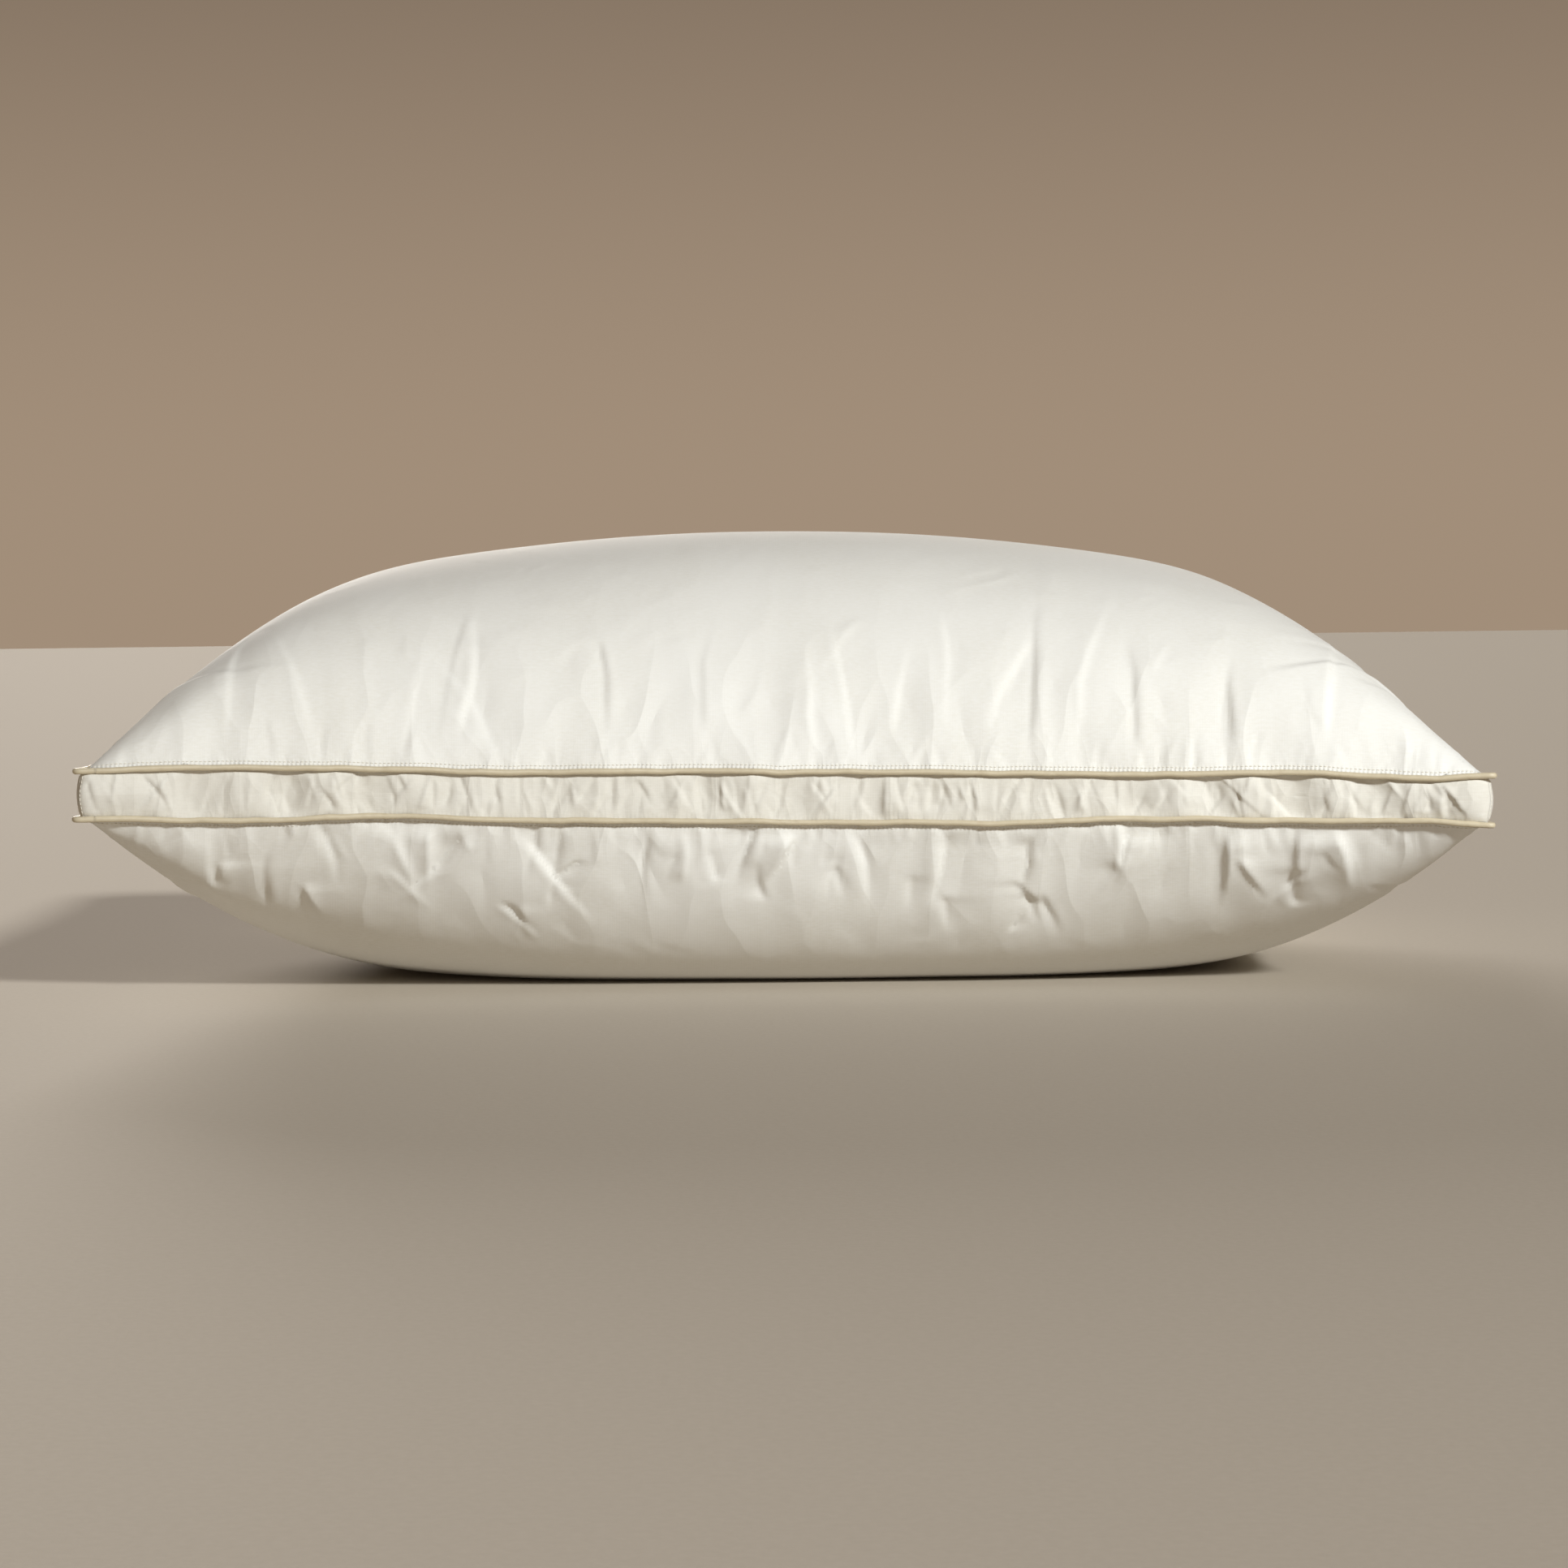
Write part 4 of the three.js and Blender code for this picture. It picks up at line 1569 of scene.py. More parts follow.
def flat_cut(rows: Array, columns: Array, depths: tuple[float, ...]) -> Array:
    """Places on the flat cloth of a grid of points with its allowance.

    Args:
        rows: Each row's place.
        columns: Each column's place.
        depths: As with_allowance takes them.

    Returns:
        A pair of numbers for each point, in metres.
    """
    grid = np.stack(np.meshgrid(rows, columns, indexing="ij"), -1)
    ways = [np.broadcast_to(way, (count, 2)) for way, count in (
        (np.array([-1.0, 0.0]), len(columns)),
        (np.array([1.0, 0.0]), len(columns)),
        (np.array([0.0, -1.0]), len(rows)),
        (np.array([0.0, 1.0]), len(rows)),
    )]
    return with_allowance(grid, tuple(ways), depths)


def read_grid(grid: Array, row: Array, column: Array) -> Array:
    """Values of a grid at places between its points.

    Args:
        grid: The grid.
        row: Row numbers, with fractions.
        column: Column numbers, with fractions.

    Returns:
        One value for each place.
    """
    i = np.clip(row.astype(int), 0, len(grid) - 2)
    j = np.clip(column.astype(int), 0, grid.shape[1] - 2)
    s, t = (row - i)[:, None], (column - j)[:, None]
    near = grid[i, j] * (1 - t) + grid[i, j + 1] * t
    far = grid[i + 1, j] * (1 - t) + grid[i + 1, j + 1] * t
    return near * (1 - s) + far * s


@dataclass
class Panels:
    """The two large faces of the case, each with its seam allowance turned in."""

    case: FilledCase
    thickness: float = 0.5 * MM
    turn_in: tuple[float, ...] = (1.5 * MM, 8.0 * MM)
    end_shift: float = 2.0  # keeps the creases at the ends unlike those at the sides

    def build(self, wardrobe: Wardrobe) -> list[Object]:
        """Makes both panels.

        Args:
            wardrobe: Where their finish comes from.

        Returns:
            The upper and the lower panel.
        """
        return [self._panel(side, name, wardrobe) for side, name in ((0, "top"), (1, "bottom"))]

    def _panel(self, side: int, name: str, wardrobe: Wardrobe) -> Object:
        """Makes one panel, with its outer face up or down."""
        pattern = self.case.pattern
        face = self.case.panel_faces[side]
        ends = unit(np.cross(np.gradient(face[[0, -1]], axis=1) * [1, 1, 0], UP))
        sides = unit(np.cross(UP, np.gradient(face[:, [0, -1]], axis=0) * [1, 1, 0]))
        ways = (ends[0], -ends[1], sides[:, 0], -sides[:, 1])
        grid = with_allowance(face, ways, self.turn_in)
        cut = flat_cut(self.case.face_x, self.case.face_y, self.turn_in)
        from_end = pattern.length / 2 - np.abs(cut[..., 0])
        from_side = pattern.width / 2 - np.abs(cut[..., 1])
        marks = {
            "seam_away": np.abs(np.minimum(from_end, from_side)),
            "seam_along": np.where(
                from_side < from_end, cut[..., 0], cut[..., 1] + self.end_shift
            ),
            "from_mitre": np.abs(from_end - from_side),
        }
        if side == 1:
            grid, cut = grid[:, ::-1], cut[:, ::-1]
            marks = {mark: values[:, ::-1] for mark, values in marks.items()}
        piece = make_cloth(f"{name}_panel_cloth", grid, self.thickness, cut, marks)
        return wardrobe.dress(piece, Finish.PANEL, f"{name}_panel")


@dataclass
class Gusset:
    """The four strips that stand between the panels, seamed to each other at the corners."""

    case: FilledCase
    thickness: float = 0.5 * MM
    turn_in: tuple[float, ...] = (1.2 * MM, 7.0 * MM)
    corner_slant: float = 0.4
    clear_of_mitre: float = 50.0 * MM
    names: tuple[str, ...] = ("front", "right", "back", "left")

    def build(self, wardrobe: Wardrobe) -> list[Object]:
        """Makes the strips.

        Args:
            wardrobe: Where their finish comes from.

        Returns:
            The strips, anticlockwise from the front.
        """
        return [self._strip(strip, name, wardrobe) for strip, name in enumerate(self.names)]

    def _strip(self, strip: int, name: str, wardrobe: Wardrobe) -> Object:
        """Makes one strip of the gusset."""
        pattern = self.case.pattern
        face = self.case.gusset_faces[strip]
        along = np.gradient(face, axis=1) * [1, 1, 0]
        inward = unit(np.cross(UP, along))
        along = unit(along)
        ways = (
            inward[0],
            inward[-1],
            unit(inward[:, 0] + self.corner_slant * along[:, 0]),
            unit(inward[:, -1] - self.corner_slant * along[:, -1]),
        )
        grid = with_allowance(face, ways, self.turn_in)
        length = pattern.length if strip % 2 == 0 else pattern.width
        rows = np.linspace(pattern.gusset, 0, len(face))
        columns = np.linspace(0, length, face.shape[1]) + strip
        cut = flat_cut(rows, columns, self.turn_in)[..., ::-1]
        away = np.minimum(np.abs(cut[..., 1]), np.abs(pattern.gusset - cut[..., 1]))
        marks = {
            "seam_away": away,
            "seam_along": cut[..., 0] - strip,
            "from_mitre": np.full(away.shape, self.clear_of_mitre),
        }
        piece = make_cloth(f"gusset_{name}_cloth", grid, self.thickness, cut, marks)
        return wardrobe.dress(piece, Finish.GUSSET, f"gusset_{name}")


# ---------------------------------------------------------------- piping


def sweep(line: Array, sections: Array, outs: Array) -> Array:
    """Carries a section round a closed line.

    Args:
        line: The line's points.
        sections: For each point of the line, the section's points as distances out and up.
        outs: Unit vectors pointing out, by point of the line.

    Returns:
        Points by line and by section.
    """
    out, up = sections[..., :1], sections[..., 1:]
    return line[:, None] + out * outs[:, None] + up * UP


@dataclass
class PipingLine:
    """The run of one bead of piping round the case, with the small ears it makes at corners."""

    seam: Array
    corners: list[int]
    bead_out: float = 2.15 * MM  # from the seam to the bead's middle
    trim: float = 7.0 * MM
    ear_fullness: float = 1.2
    ear_steps: int = 18
    spacing: float = 1.4 * MM
    points: Array = field(init=False)
    outs: Array = field(init=False)
    from_corner: Array = field(init=False)

    def __post_init__(self) -> None:
        """Lays the line round the case."""
        runs = self._runs()
        rounded = []
        for run, after in zip(runs, runs[1:] + runs[:1]):
            rounded += [run, self._ear(run, after)]
        line = round_loop(np.concatenate(rounded), self.spacing)
        for _ in range(2):
            line = 0.25 * np.roll(line, 1, 0) + 0.5 * line + 0.25 * np.roll(line, -1, 0)
        self.points = line
        self.outs = unit(np.cross(unit(np.roll(line, -1, 0) - np.roll(line, 1, 0)), UP))
        at_corners = self.seam[self.corners]
        self.from_corner = np.linalg.norm(line[:, None] - at_corners[None], axis=-1).min(1)

    @property
    def length(self) -> float:
        """The line's length in metres."""
        return self.spacing * len(self.points)

    def _runs(self) -> list[Array]:
        """The bead's four long runs, each stopping short of its corners."""
        ends = [*self.corners, len(self.seam)]
        closed = np.concatenate([self.seam, self.seam[:1]])
        runs = []
        for start, stop in zip(ends[:-1], ends[1:]):
            side = closed[start : stop + 1]
            side = side + self.bead_out * unit(np.cross(np.gradient(side, axis=0) * [1, 1, 0], UP))
            reach = way_along(side)
            at = np.arange(self.trim, reach[-1] - self.trim, self.spacing)
            runs.append(np.stack([np.interp(at, reach, side[:, k]) for k in range(3)], -1))
        return runs

    def _ear(self, run: Array, after: Array) -> Array:
        """The turn from one run to the next, fuller than a plain corner."""
        a, b = run[-1], after[0]
        handle = self.ear_fullness * np.linalg.norm(b - a)
        control_a = a + handle * unit(run[-1] - run[-3])
        control_b = b - handle * unit(after[2] - after[0])
        t = np.linspace(0, 1, self.ear_steps)[1:-1, None]
        return (
            a * (1 - t) ** 3
            + 3 * control_a * t * (1 - t) ** 2
            + 3 * control_b * t**2 * (1 - t)
            + b * t**3
        )


@dataclass
class Piping:
    """Satin folded round a cord and caught in a seam, one round each panel."""

    case: FilledCase
    bead_radius: float = 1.55 * MM
    bore_radius: float = 1.15 * MM
    cord_radius: float = 0.9 * MM
    flange_half: float = 0.42 * MM
    flange_reach: float = 9.0 * MM
    corner_reach: float = 4.0 * MM
    reach_share: float = 0.55
    unevenness: float = 0.05
    uneven_waves: tuple[float, float] = (0.02, 0.006)
    most_uneven: float = 0.12
    bead_sides: int = 20
    bore_sides: int = 10
    seed: int = 31

    def build(self, wardrobe: Wardrobe) -> list[Object]:
        """Makes the covers and the cords.

        Args:
            wardrobe: Where their finishes come from.

        Returns:
            The upper cover and cord, and then the lower ones.
        """
        made = []
        for side, name in ((0, "upper"), (1, "lower")):
            line = PipingLine(self.case.seam(side), self.case.net.corners)
            cover = self._cover(line, f"{name}_piping_satin", side)
            made.append(wardrobe.dress(cover, Finish.PIPING, f"{name}_piping_cover"))
            cord = self._cord(line, f"{name}_piping_core")
            made.append(wardrobe.dress(cord, Finish.CORD, f"{name}_piping_cord"))
        return made

    def _cover(self, line: PipingLine, name: str, side: int) -> Object:
        """The folded satin: a bead with a bore, and its two layers running into the seam."""
        rng = np.random.default_rng(self.seed + side)
        count = len(line.points)
        broad, fine = (smooth_run(rng, count, line.length, w) for w in self.uneven_waves)
        uneven = self.unevenness * (broad + 0.5 * fine)
        radius = self.bead_radius * (1 + np.clip(uneven, -self.most_uneven, self.most_uneven))
        start = math.asin(self.flange_half / self.bead_radius)
        angles = np.linspace(math.pi - start, start - math.pi, self.bead_sides)
        bead = radius[:, None, None] * np.stack([np.cos(angles), np.sin(angles)], -1)
        reach = self.reach_share * line.from_corner
        reach = -np.clip(reach, self.corner_reach, self.flange_reach)
        flange = np.empty((count, 4, 2))
        flange[:, :2, 1], flange[:, 2:, 1] = -self.flange_half, self.flange_half
        flange[:, [1, 2], 0] = reach[:, None]
        flange[:, [0, 3], 0] = 0.5 * (reach[:, None] - self.bead_radius)
        outer = sweep(line.points, np.concatenate([bead, flange], 1), line.outs)
        bore, bore_faces, bore_cut = self._tube(line, self.bore_radius)
        outer_faces = grid_faces(count, outer.shape[1], ring_rows=True, ring_columns=True)
        along = np.arange(count) * line.spacing
        round_it = np.concatenate([angles, np.full(4, -math.pi)]) * -self.bead_radius
        outer_cut = np.stack(np.meshgrid(along, round_it, indexing="ij"), -1).reshape(-1, 2)
        outer = outer.reshape(-1, 3)
        if signed_volume(outer, outer_faces) < 0:
            outer_faces = outer_faces[:, ::-1]
        if signed_volume(bore, bore_faces) > 0:
            bore_faces = bore_faces[:, ::-1]
        faces = np.concatenate([outer_faces, bore_faces + len(outer)])
        cut = np.concatenate([outer_cut, bore_cut])
        return make_piece(name, np.concatenate([outer, bore]), faces, cut)

    def _cord(self, line: PipingLine, name: str) -> Object:
        """The cotton cord inside the satin."""
        return make_piece(name, *self._tube(line, self.cord_radius))

    def _tube(self, line: PipingLine, radius: float) -> tuple[Array, Array, Array]:
        """A round tube along the bead, as its points, its quads and its flat cut."""
        count = len(line.points)
        turn = np.linspace(0, 2 * math.pi, self.bore_sides, endpoint=False)
        section = radius * np.stack([np.cos(turn), np.sin(turn)], -1)
        tube = sweep(line.points, np.broadcast_to(section, (count, self.bore_sides, 2)), line.outs)
        faces = grid_faces(count, self.bore_sides, ring_rows=True, ring_columns=True)
        along = np.arange(count) * line.spacing
        cut = np.stack(np.meshgrid(along, turn * radius, indexing="ij"), -1)
        return tube.reshape(-1, 3), faces, cut.reshape(-1, 2)


# ---------------------------------------------------------------- sewing thread


@dataclass(frozen=True)
class Stitch:
    """One visible stitch: a short length of thread that dips into the cloth at both ends."""

    length: float = 1.75 * MM
    radius: float = 0.3 * MM  # thicker than real thread, which would be too fine to show
    sides: int = 6
    places: tuple[float, ...] = (-0.5, -0.44, -0.2, 0.2, 0.44, 0.5)  # shares of the length
    thickness: tuple[float, ...] = (0.3, 0.8, 1.0, 1.0, 0.8, 0.3)  # shares of the radius
    sunk_mm: tuple[float, ...] = (0.22, 0.14, 0.0, 0.0, 0.14, 0.22)

    def row(self, name: str, centres: Array, ways: Array, normals: Array) -> Object:
        """Makes a row of stitches as one piece.

        Args:
            name: The piece's name.
            centres: Where each stitch's middle is.
            ways: Unit vectors along each stitch.
            normals: Unit vectors off the cloth at each stitch.

        Returns:
            The object.
        """
        sides = np.cross(normals, ways)
        turn = np.linspace(0, 2 * math.pi, self.sides, endpoint=False)
        places = np.array(self.places) * self.length
        radii = np.array(self.thickness) * self.radius
        sink = -np.array(self.sunk_mm) * MM
        along = np.repeat(places, self.sides)
        across = (radii[:, None] * np.cos(turn)).ravel()
        lift = (radii[:, None] * np.sin(turn) + sink[:, None]).ravel()
        along = np.concatenate([along, [places[0], places[-1]]])
        across = np.concatenate([across, [0.0, 0.0]])
        lift = np.concatenate([lift, [sink[0], sink[-1]]])
        one = grid_faces(len(places), self.sides, ring_columns=True)
        poles = len(along) - np.array([2, 1])
        first = np.arange(self.sides)
        last = first + (len(places) - 1) * self.sides
        caps = [
            np.stack([np.full(self.sides, poles[0]), first, *[np.roll(first, -1)] * 2], -1),
            np.stack([np.full(self.sides, poles[1]), np.roll(last, -1), last, last], -1),
        ]
        one = np.concatenate([one, *caps])
        points = (
            centres[:, None]
            + along[:, None] * ways[:, None]
            + across[:, None] * sides[:, None]
            + lift[:, None] * normals[:, None]
        )
        faces = one[None] + (np.arange(len(centres)) * len(along))[:, None, None]
        cut = np.stack([along, np.arctan2(lift, across) * self.radius], -1)
        cut = np.broadcast_to(cut, (len(centres), *cut.shape)).reshape(-1, 2)
        return make_piece(name, points.reshape(-1, 3), faces.reshape(-1, 4), cut)


@dataclass
class Sewing:
    """Every run of visible thread: along the piping, up the corners and over the opening."""

    case: FilledCase
    stitch: Stitch = Stitch()
    slip_stitch: Stitch = Stitch(length=2.6 * MM, radius=0.26 * MM)
    pitch: float = 2.3 * MM
    slip_pitch: float = 4.6 * MM
    slip_slant: float = 0.5
    from_seam: float = 3.3 * MM
    from_corner: float = 1.3 * MM
    corner_ends: tuple[float, float] = (1.6 * MM, 1.2 * MM)
    opening: float = 180.0 * MM
    opening_from_seam: float = 1.9 * MM

    def build(self, wardrobe: Wardrobe) -> list[Object]:
        """Makes the rows of stitches.

        Args:
            wardrobe: Where their finish comes from.

        Returns:
            The seam rows, the corner rows and the hand-closed opening.
        """
        made = []
        for side, name in enumerate(("upper", "lower")):
            row = self._seam_row(side, f"{name}_seam_stitches")
            made.append(wardrobe.dress(row, Finish.THREAD, f"{name}_seam_thread"))
        for strip, corner in enumerate(("front_left", "front_right", "back_right", "back_left")):
            row = self._corner_row(strip, f"corner_stitches_{corner}")
            made.append(wardrobe.dress(row, Finish.THREAD, f"corner_thread_{corner}"))
        closing = self._closing_row("closing_slip_stitches")
        made.append(wardrobe.dress(closing, Finish.THREAD, "closing_thread"))
        return made

    def _seam_row(self, side: int, name: str) -> Object:
        """The machine stitches along one panel's edge, left out over the filled opening."""
        pattern = self.case.pattern
        face = self.case.panel_faces[side]
        normals = grid_normals(face) * (1 if side == 0 else -1)
        far = np.array([pattern.length, pattern.width]) / 2 - self.from_seam
        turns = np.array([[-1, -1], [1, -1], [1, 1], [-1, 1]]) * far
        walk = round_loop(turns, self.pitch)
        row = np.interp(walk[:, 0], self.case.face_x, np.arange(len(self.case.face_x)))
        column = np.interp(walk[:, 1], self.case.face_y, np.arange(len(self.case.face_y)))
        centres = read_grid(face, row, column)
        ways = unit(np.roll(centres, -1, 0) - np.roll(centres, 1, 0))
        lifted = unit(read_grid(normals, row, column))
        if side == 1:
            open_here = (np.abs(centres[:, 0]) < self.opening / 2) & (centres[:, 1] > 0)
            centres, ways, lifted = centres[~open_here], ways[~open_here], lifted[~open_here]
        return self.stitch.row(name, centres, ways, lifted)

    def _corner_row(self, strip: int, name: str) -> Object:
        """The stitches up one corner seam, on the strip that starts there."""
        face = self.case.gusset_faces[strip]
        normals = grid_normals(face)
        height = self.case.pattern.gusset
        first, last = self.corner_ends
        down = np.arange(first, height - last, self.pitch) / height * (len(face) - 1)
        length = self.case.pattern.length if strip % 2 == 0 else self.case.pattern.width
        column = np.full(len(down), self.from_corner / length * (face.shape[1] - 1))
        centres = read_grid(face, down, column)
        ways = unit(np.gradient(centres, axis=0))
        return self.stitch.row(name, centres, ways, unit(read_grid(normals, down, column)))

    def _closing_row(self, name: str) -> Object:
        """The slip stitches by hand that close the opening the case was filled through."""
        face = self.case.gusset_faces[2]
        normals = grid_normals(face)
        middle = (face.shape[1] - 1) / 2
        step = self.case.pattern.length / (face.shape[1] - 1)
        column = middle + np.arange(-self.opening / 2, self.opening / 2, self.slip_pitch) / step
        share = 1 - self.opening_from_seam / self.case.pattern.gusset
        row = np.full(len(column), (len(face) - 1) * share)
        centres = read_grid(face, row, column)
        out = unit(read_grid(normals, row, column))
        ways = unit(np.gradient(centres, axis=0) + self.slip_slant * self.slip_pitch * UP)
        ways = unit(ways - out * np.einsum("ij,ij->i", ways, out)[:, None])
        return self.slip_stitch.row(name, centres, ways, out)


# ---------------------------------------------------------------- label


@dataclass
class CareLabel:
    """A blank satin ribbon, folded in two, with both ends caught in the back's lower seam."""

    case: FilledCase
    width: float = 38.0 * MM
    drop: float = 30.0 * MM
    thickness: float = 0.3 * MM
    layer_gap: float = 0.35 * MM
    caught: float = 6.0 * MM
    curl: float = 0.8 * MM
    clear: float = 1.2 * MM
    lean: float = 1.5 * MM
    below: float = 2.9 * MM
    columns: int = 13
    steps: int = 10

    def build(self, wardrobe: Wardrobe) -> Object:
        """Makes the label.

        Args:
            wardrobe: Where its finish comes from.

        Returns:
            The label.
        """
        low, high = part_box("care_label")
        seam = self.case.seam(1)
        back = seam[seam[:, 1] > 0]
        across = np.linspace(low.x, high.x, self.columns)
        order = np.argsort(back[:, 0])
        edge = np.stack([np.interp(across, back[order, 0], back[order, k]) for k in range(3)], -1)
        side = unit(edge[-1] - edge[0])
        out = unit(np.cross(UP, side) * [1, 1, 0])
        share = np.linspace(-1, 1, self.columns)
        anchor = edge.mean(0) + (share / 2 * self.width)[:, None] * side
        profile = self._profile()
        grid = anchor[None] + profile[:, None, :1] * out + profile[:, None, 1:] * UP
        hang = np.clip(-profile[:, 1] / self.drop, 0, 1)
        grid += (hang[:, None] * self.curl * share[None] ** 2)[..., None] * out
        reach = way_along(profile)
        cut = np.stack(np.meshgrid(reach, (share + 1) / 2 * self.width, indexing="ij"), -1)
        piece = make_cloth("care_label_ribbon", grid, self.thickness, cut, inner_step=1)
        return wardrobe.dress(piece, Finish.LABEL, "care_label")

    def _profile(self) -> Array:
        """The folded ribbon seen from its side, as distances out from the seam and up."""
        bead = PipingLine.bead_out + Piping.bead_radius
        fold = self.layer_gap / 2 + self.thickness
        middle = bead + self.clear - fold
        down = np.linspace(0, 1, self.steps + 1)
        hang_out = middle - self.lean * np.sin(math.pi * 0.5 * down) ** 2
        hang_up = -self.below - down * (self.drop - self.below)
        front = np.stack([hang_out + fold, hang_up], -1)
        turn = np.linspace(0, math.pi, 7)[1:-1]
        round_it = np.stack([np.cos(turn), -np.sin(turn)], -1) * fold + [hang_out[-1], hang_up[-1]]
        behind = np.stack([hang_out - fold, hang_up], -1)[::-1]
        start = np.array([[-self.caught, -1.35 * MM], [0.0, -1.35 * MM], [2.4 * MM, -2.15 * MM]])
        end = np.array([[2.0 * MM, -self.below], [0.0, -2.3 * MM], [-self.caught, -2.3 * MM]])
        return np.concatenate([start, front, round_it, behind, end])


# ---------------------------------------------------------------- filling


@dataclass
class DownFilling:
    """The down and feathers, as one soft body a little smaller than the case."""

    case: FilledCase
    columns: int = 60
    rows: int = 40
    share: float = 0.962
    lift: float = 4.0 * MM
    smoothings: int = 3

    def build(self, wardrobe: Wardrobe) -> Object:
        """Makes the filling.

        Args:
            wardrobe: Where its finish comes from.

        Returns:
            The filling.
        """
        panels = self.case.net.panels.astype(float)
        coarse = resample(resample(panels, self.columns, 1), self.rows, 2)
        for _ in range(self.smoothings):
            coarse[:, 1:-1, 1:-1] = 0.25 * (
                coarse[:, :-2, 1:-1] + coarse[:, 2:, 1:-1] + coarse[:, 1:-1, :-2] + coarse[:, 1:-1, 2:]
            )
        middle = np.array([0.0, 0.0, coarse[0, 0, 0, 2]])
        coarse = middle + (coarse - middle) * self.share
        coarse[1] = np.maximum(coarse[1], [-1, -1, self.lift])
        shape = (self.columns + 1, self.rows + 1)
        count = shape[0] * shape[1]
        rim = rim_numbers(*shape)
        onward = np.roll(rim, -1)
        sides = np.stack([rim, rim + count, onward + count, onward], -1)
        top = grid_faces(*shape)
        faces = np.concatenate([top, top[:, ::-1] + count, sides])
        piece = make_piece("down_filling", coarse.reshape(-1, 3), faces)
        return wardrobe.dress(piece, Finish.DOWN, "filling")


# ---------------------------------------------------------------- studio


class Lights(Enum):
    """What a lamp falls on, as the state of the floor among the objects it is linked to."""

    ALL = ""
    FLOOR = "INCLUDE"
    PILLOW = "EXCLUDE"


@dataclass(frozen=True)
class Lamp:
    """A soft light, given by where it shines from.

    With a distance it is a round softbox that shines in a cone at the pillow, and without one
    it is far away and even.
    """

    name: str
    right_degrees: float
    height_degrees: float
    strength: float
    tint: str
    softness: float
    away: float = 0.0
    cone_degrees: float = 58.0

    def hang(self, floor: Object, lights: Lights) -> None:
        """Adds the light to the scene.

        Args:
            floor: The studio's floor.
            lights: What the light falls on.
        """
        data = bpy.data.lights.new(self.name, "SPOT" if self.away else "SUN")
        data.energy = self.strength
        data.color = linear(self.tint)[:3]
        if self.away:
            data.shadow_soft_size = self.softness
            data.spot_size = math.radians(self.cone_degrees)
            data.spot_blend = 1.0
        else:
            data.angle = self.softness
        lamp = bpy.data.objects.new(self.name, data)
        bpy.context.collection.objects.link(lamp)
        right, height = math.radians(self.right_degrees), math.radians(self.height_degrees)
        towards = Vector((
            -math.sin(right) * math.cos(height),
            math.cos(right) * math.cos(height),
            -math.sin(height),
        ))
        lamp.rotation_euler = towards.to_track_quat("-Z", "Y").to_euler()
        lamp.location = Vector((0.0, CAD_LOW.y / 2, CAD_HIGH.z / 2)) - self.away * towards
        if lights != Lights.ALL:
            chosen = bpy.data.collections.new(f"{self.name}_falls_on")
            chosen.objects.link(floor)
            chosen.collection_objects[0].light_linking.link_state = lights.value
            lamp.light_linking.receiver_collection = chosen


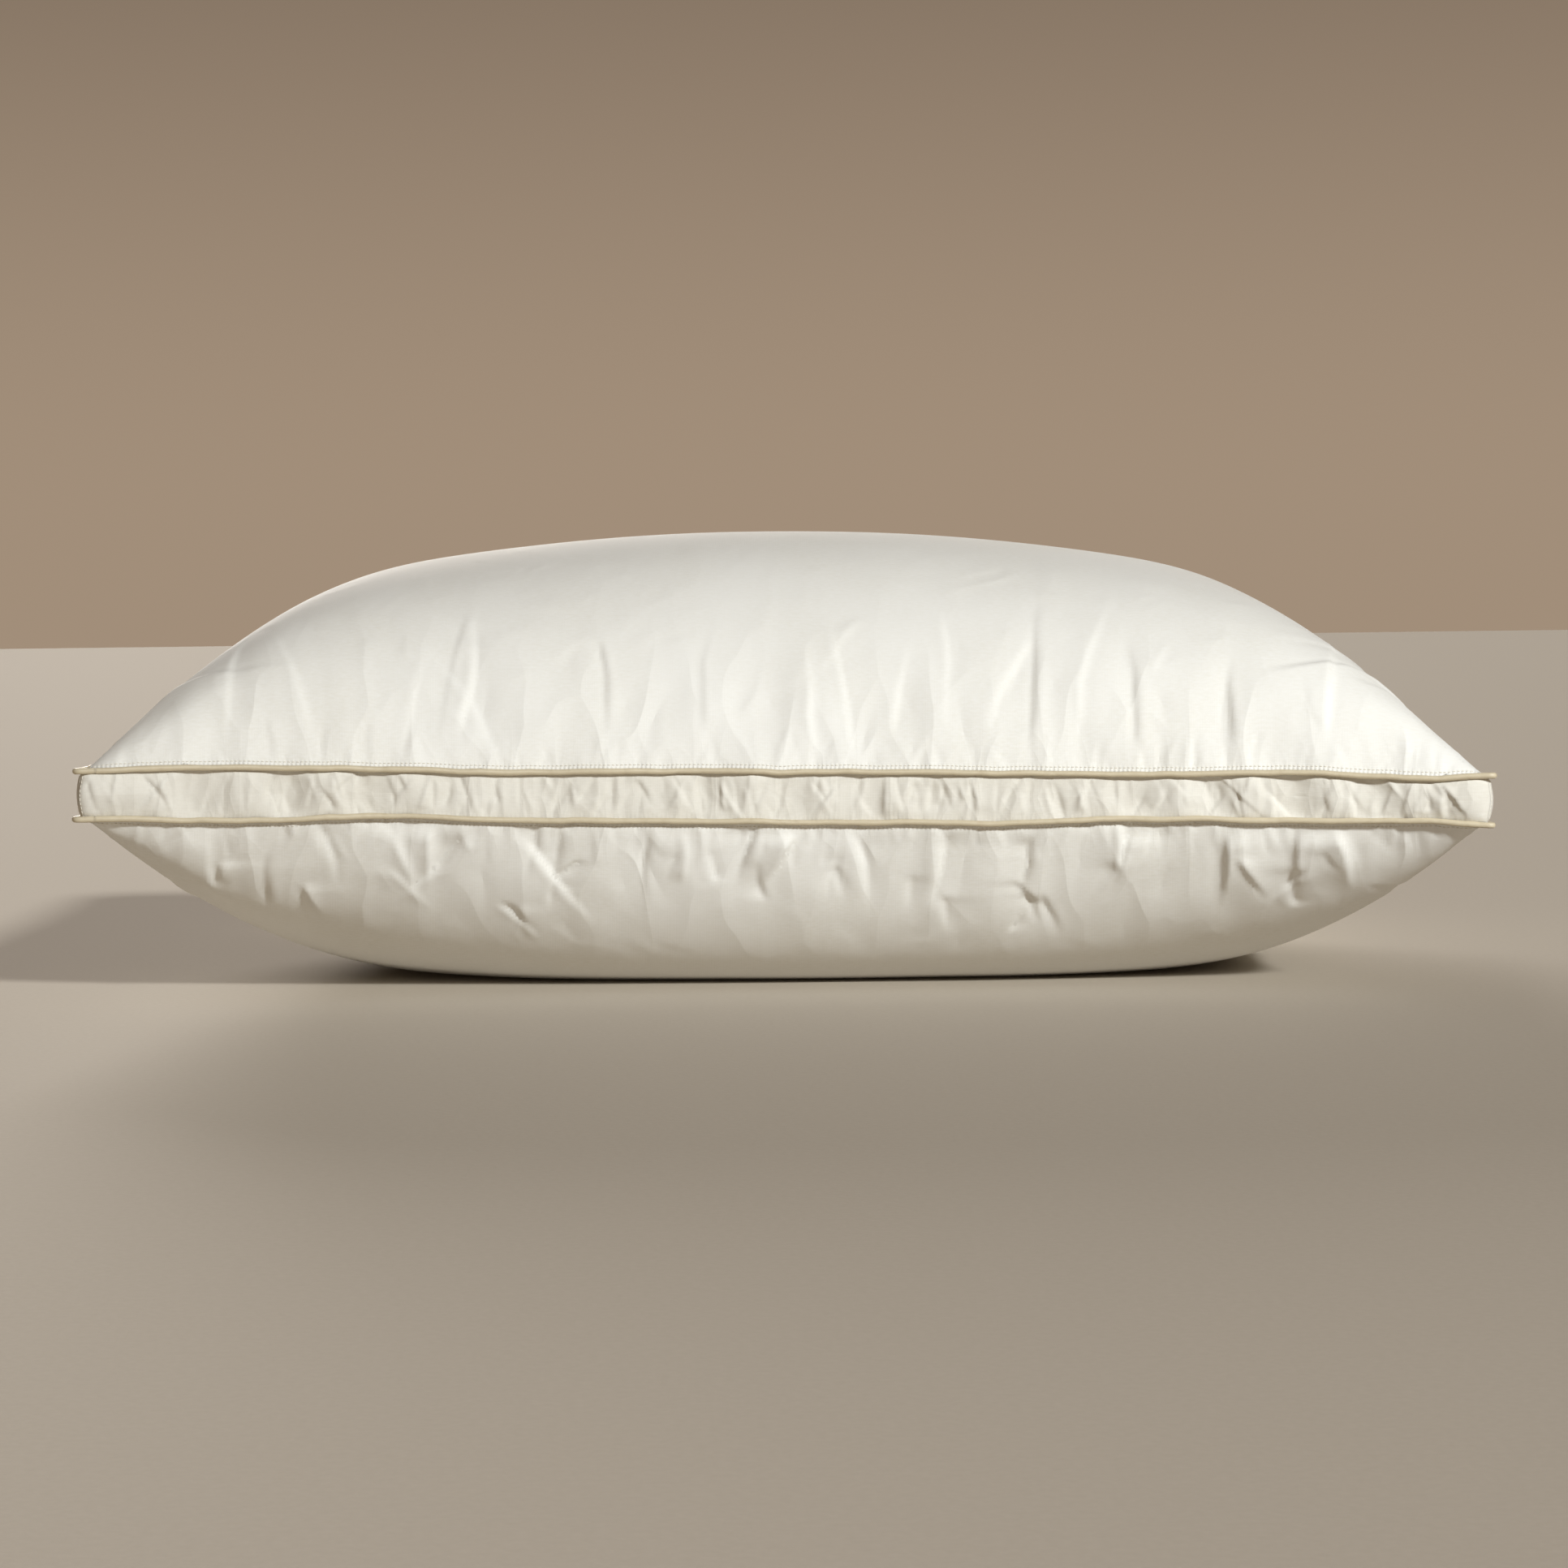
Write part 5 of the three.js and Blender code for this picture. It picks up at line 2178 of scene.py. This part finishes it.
@dataclass
class Studio:
    """A pale floor, soft light from the front right, and the camera."""

    floor_size: float = 24.0
    floor_points: int = 9
    key: Lamp = Lamp("key_lamp", 32.0, 26.0, 184.0, "F6FAFB", 0.12, away=2.2)
    floor_key: Lamp = Lamp("floor_lamp", 32.0, 26.0, 2.2, "FFFAF2", 0.09)
    fill: Lamp = Lamp("fill_lamp", 190.0, 12.0, 1.6, "FFF6EC", 0.3)
    room_tint: str = "FFE1C2"
    horizon_light: float = 0.36
    room_light: float = 0.13
    camera_away: float = 1.85
    camera_height: float = 0.216
    haze: tuple[float, float] = (0.02, 0.3)  # heights between which the horizon's light fades
    look_down: float = 0.102
    roll_degrees: float = -0.7
    view_width: float = 0.798
    sensor_mm: float = 36.0

    def build(self) -> None:
        """Makes everything that isn't the pillow."""
        self._light(self._floor())
        self._camera()

    def _floor(self) -> Object:
        """Lays the floor."""
        half = self.floor_size / 2
        count = self.floor_points
        steps = np.linspace(-half, half, count)
        points = np.stack(np.meshgrid(steps, steps, [0.0], indexing="ij"), -1).reshape(-1, 3)
        mesh = bpy.data.meshes.new("studio_floor")
        mesh.from_pydata(points.tolist(), [], grid_faces(count, count).tolist())
        floor = bpy.data.objects.new("studio_floor", mesh)
        bpy.context.collection.objects.link(floor)
        mesh.materials.append(PaintedFloorFinish("matt_emulsion_pale", "D6D1C8", "CEC9BF").build())
        return floor

    def _light(self, floor: Object) -> None:
        """Sets the room's glow and the lamps, and shows tones as they are lit.

        The key light stands near enough to fall off across the pillow. The floor gets the same
        light from far away, so that it stays even.

        Args:
            floor: The studio's floor.
        """
        world = bpy.data.worlds.new("studio_room")
        bpy.context.scene.world = world
        world.use_nodes = True
        tree = world.node_tree
        glow = tree.nodes["Background"]
        glow.inputs["Color"].default_value = linear(self.room_tint)
        toward = add_node(tree, "ShaderNodeTexCoord").outputs["Generated"]
        height = add_node(tree, "ShaderNodeSeparateXYZ", links={0: toward}).outputs["Z"]
        level = add_node(
            tree,
            "ShaderNodeMapRange",
            {
                "interpolation_type": "SMOOTHSTEP",
                "From Min": self.haze[0],
                "From Max": self.haze[1],
                "To Min": self.horizon_light,
                "To Max": self.room_light,
            },
            {"Value": height},
        )
        tree.links.new(level.outputs[0], glow.inputs["Strength"])
        self.key.hang(floor, Lights.PILLOW)
        self.floor_key.hang(floor, Lights.FLOOR)
        self.fill.hang(floor, Lights.ALL)
        bpy.context.scene.view_settings.view_transform = "Standard"

    def _camera(self) -> None:
        """Stands the camera in front, a little above the pillow's seams."""
        data = bpy.data.cameras.new("camera")
        camera = bpy.data.objects.new("camera", data)
        bpy.context.collection.objects.link(camera)
        bpy.context.scene.camera = camera
        camera.location = (0.0, CAD_LOW.y - self.camera_away, self.camera_height)
        data.sensor_width = self.sensor_mm
        data.lens = self.sensor_mm * self.camera_away / self.view_width
        aim = Vector((0.0, self.camera_away, -self.look_down))
        turn = aim.to_track_quat("-Z", "Y").to_matrix().to_4x4()
        roll = Matrix.Rotation(math.radians(self.roll_degrees), 4, "Z")
        camera.rotation_euler = (turn @ roll).to_euler()
        data.clip_start = 0.05


def main() -> None:
    """Builds the pillow and the studio."""
    logging.basicConfig(level=logging.INFO, format="%(message)s")
    Studio().build()
    stages = STAGES
    case = FilledCase(Pattern(), Filling(), stages)
    wardrobe = Wardrobe()
    for part in (DownFilling, Panels, Gusset, Piping, Sewing, CareLabel):
        part(case).build(wardrobe)


if __name__ == "__main__":
    main()
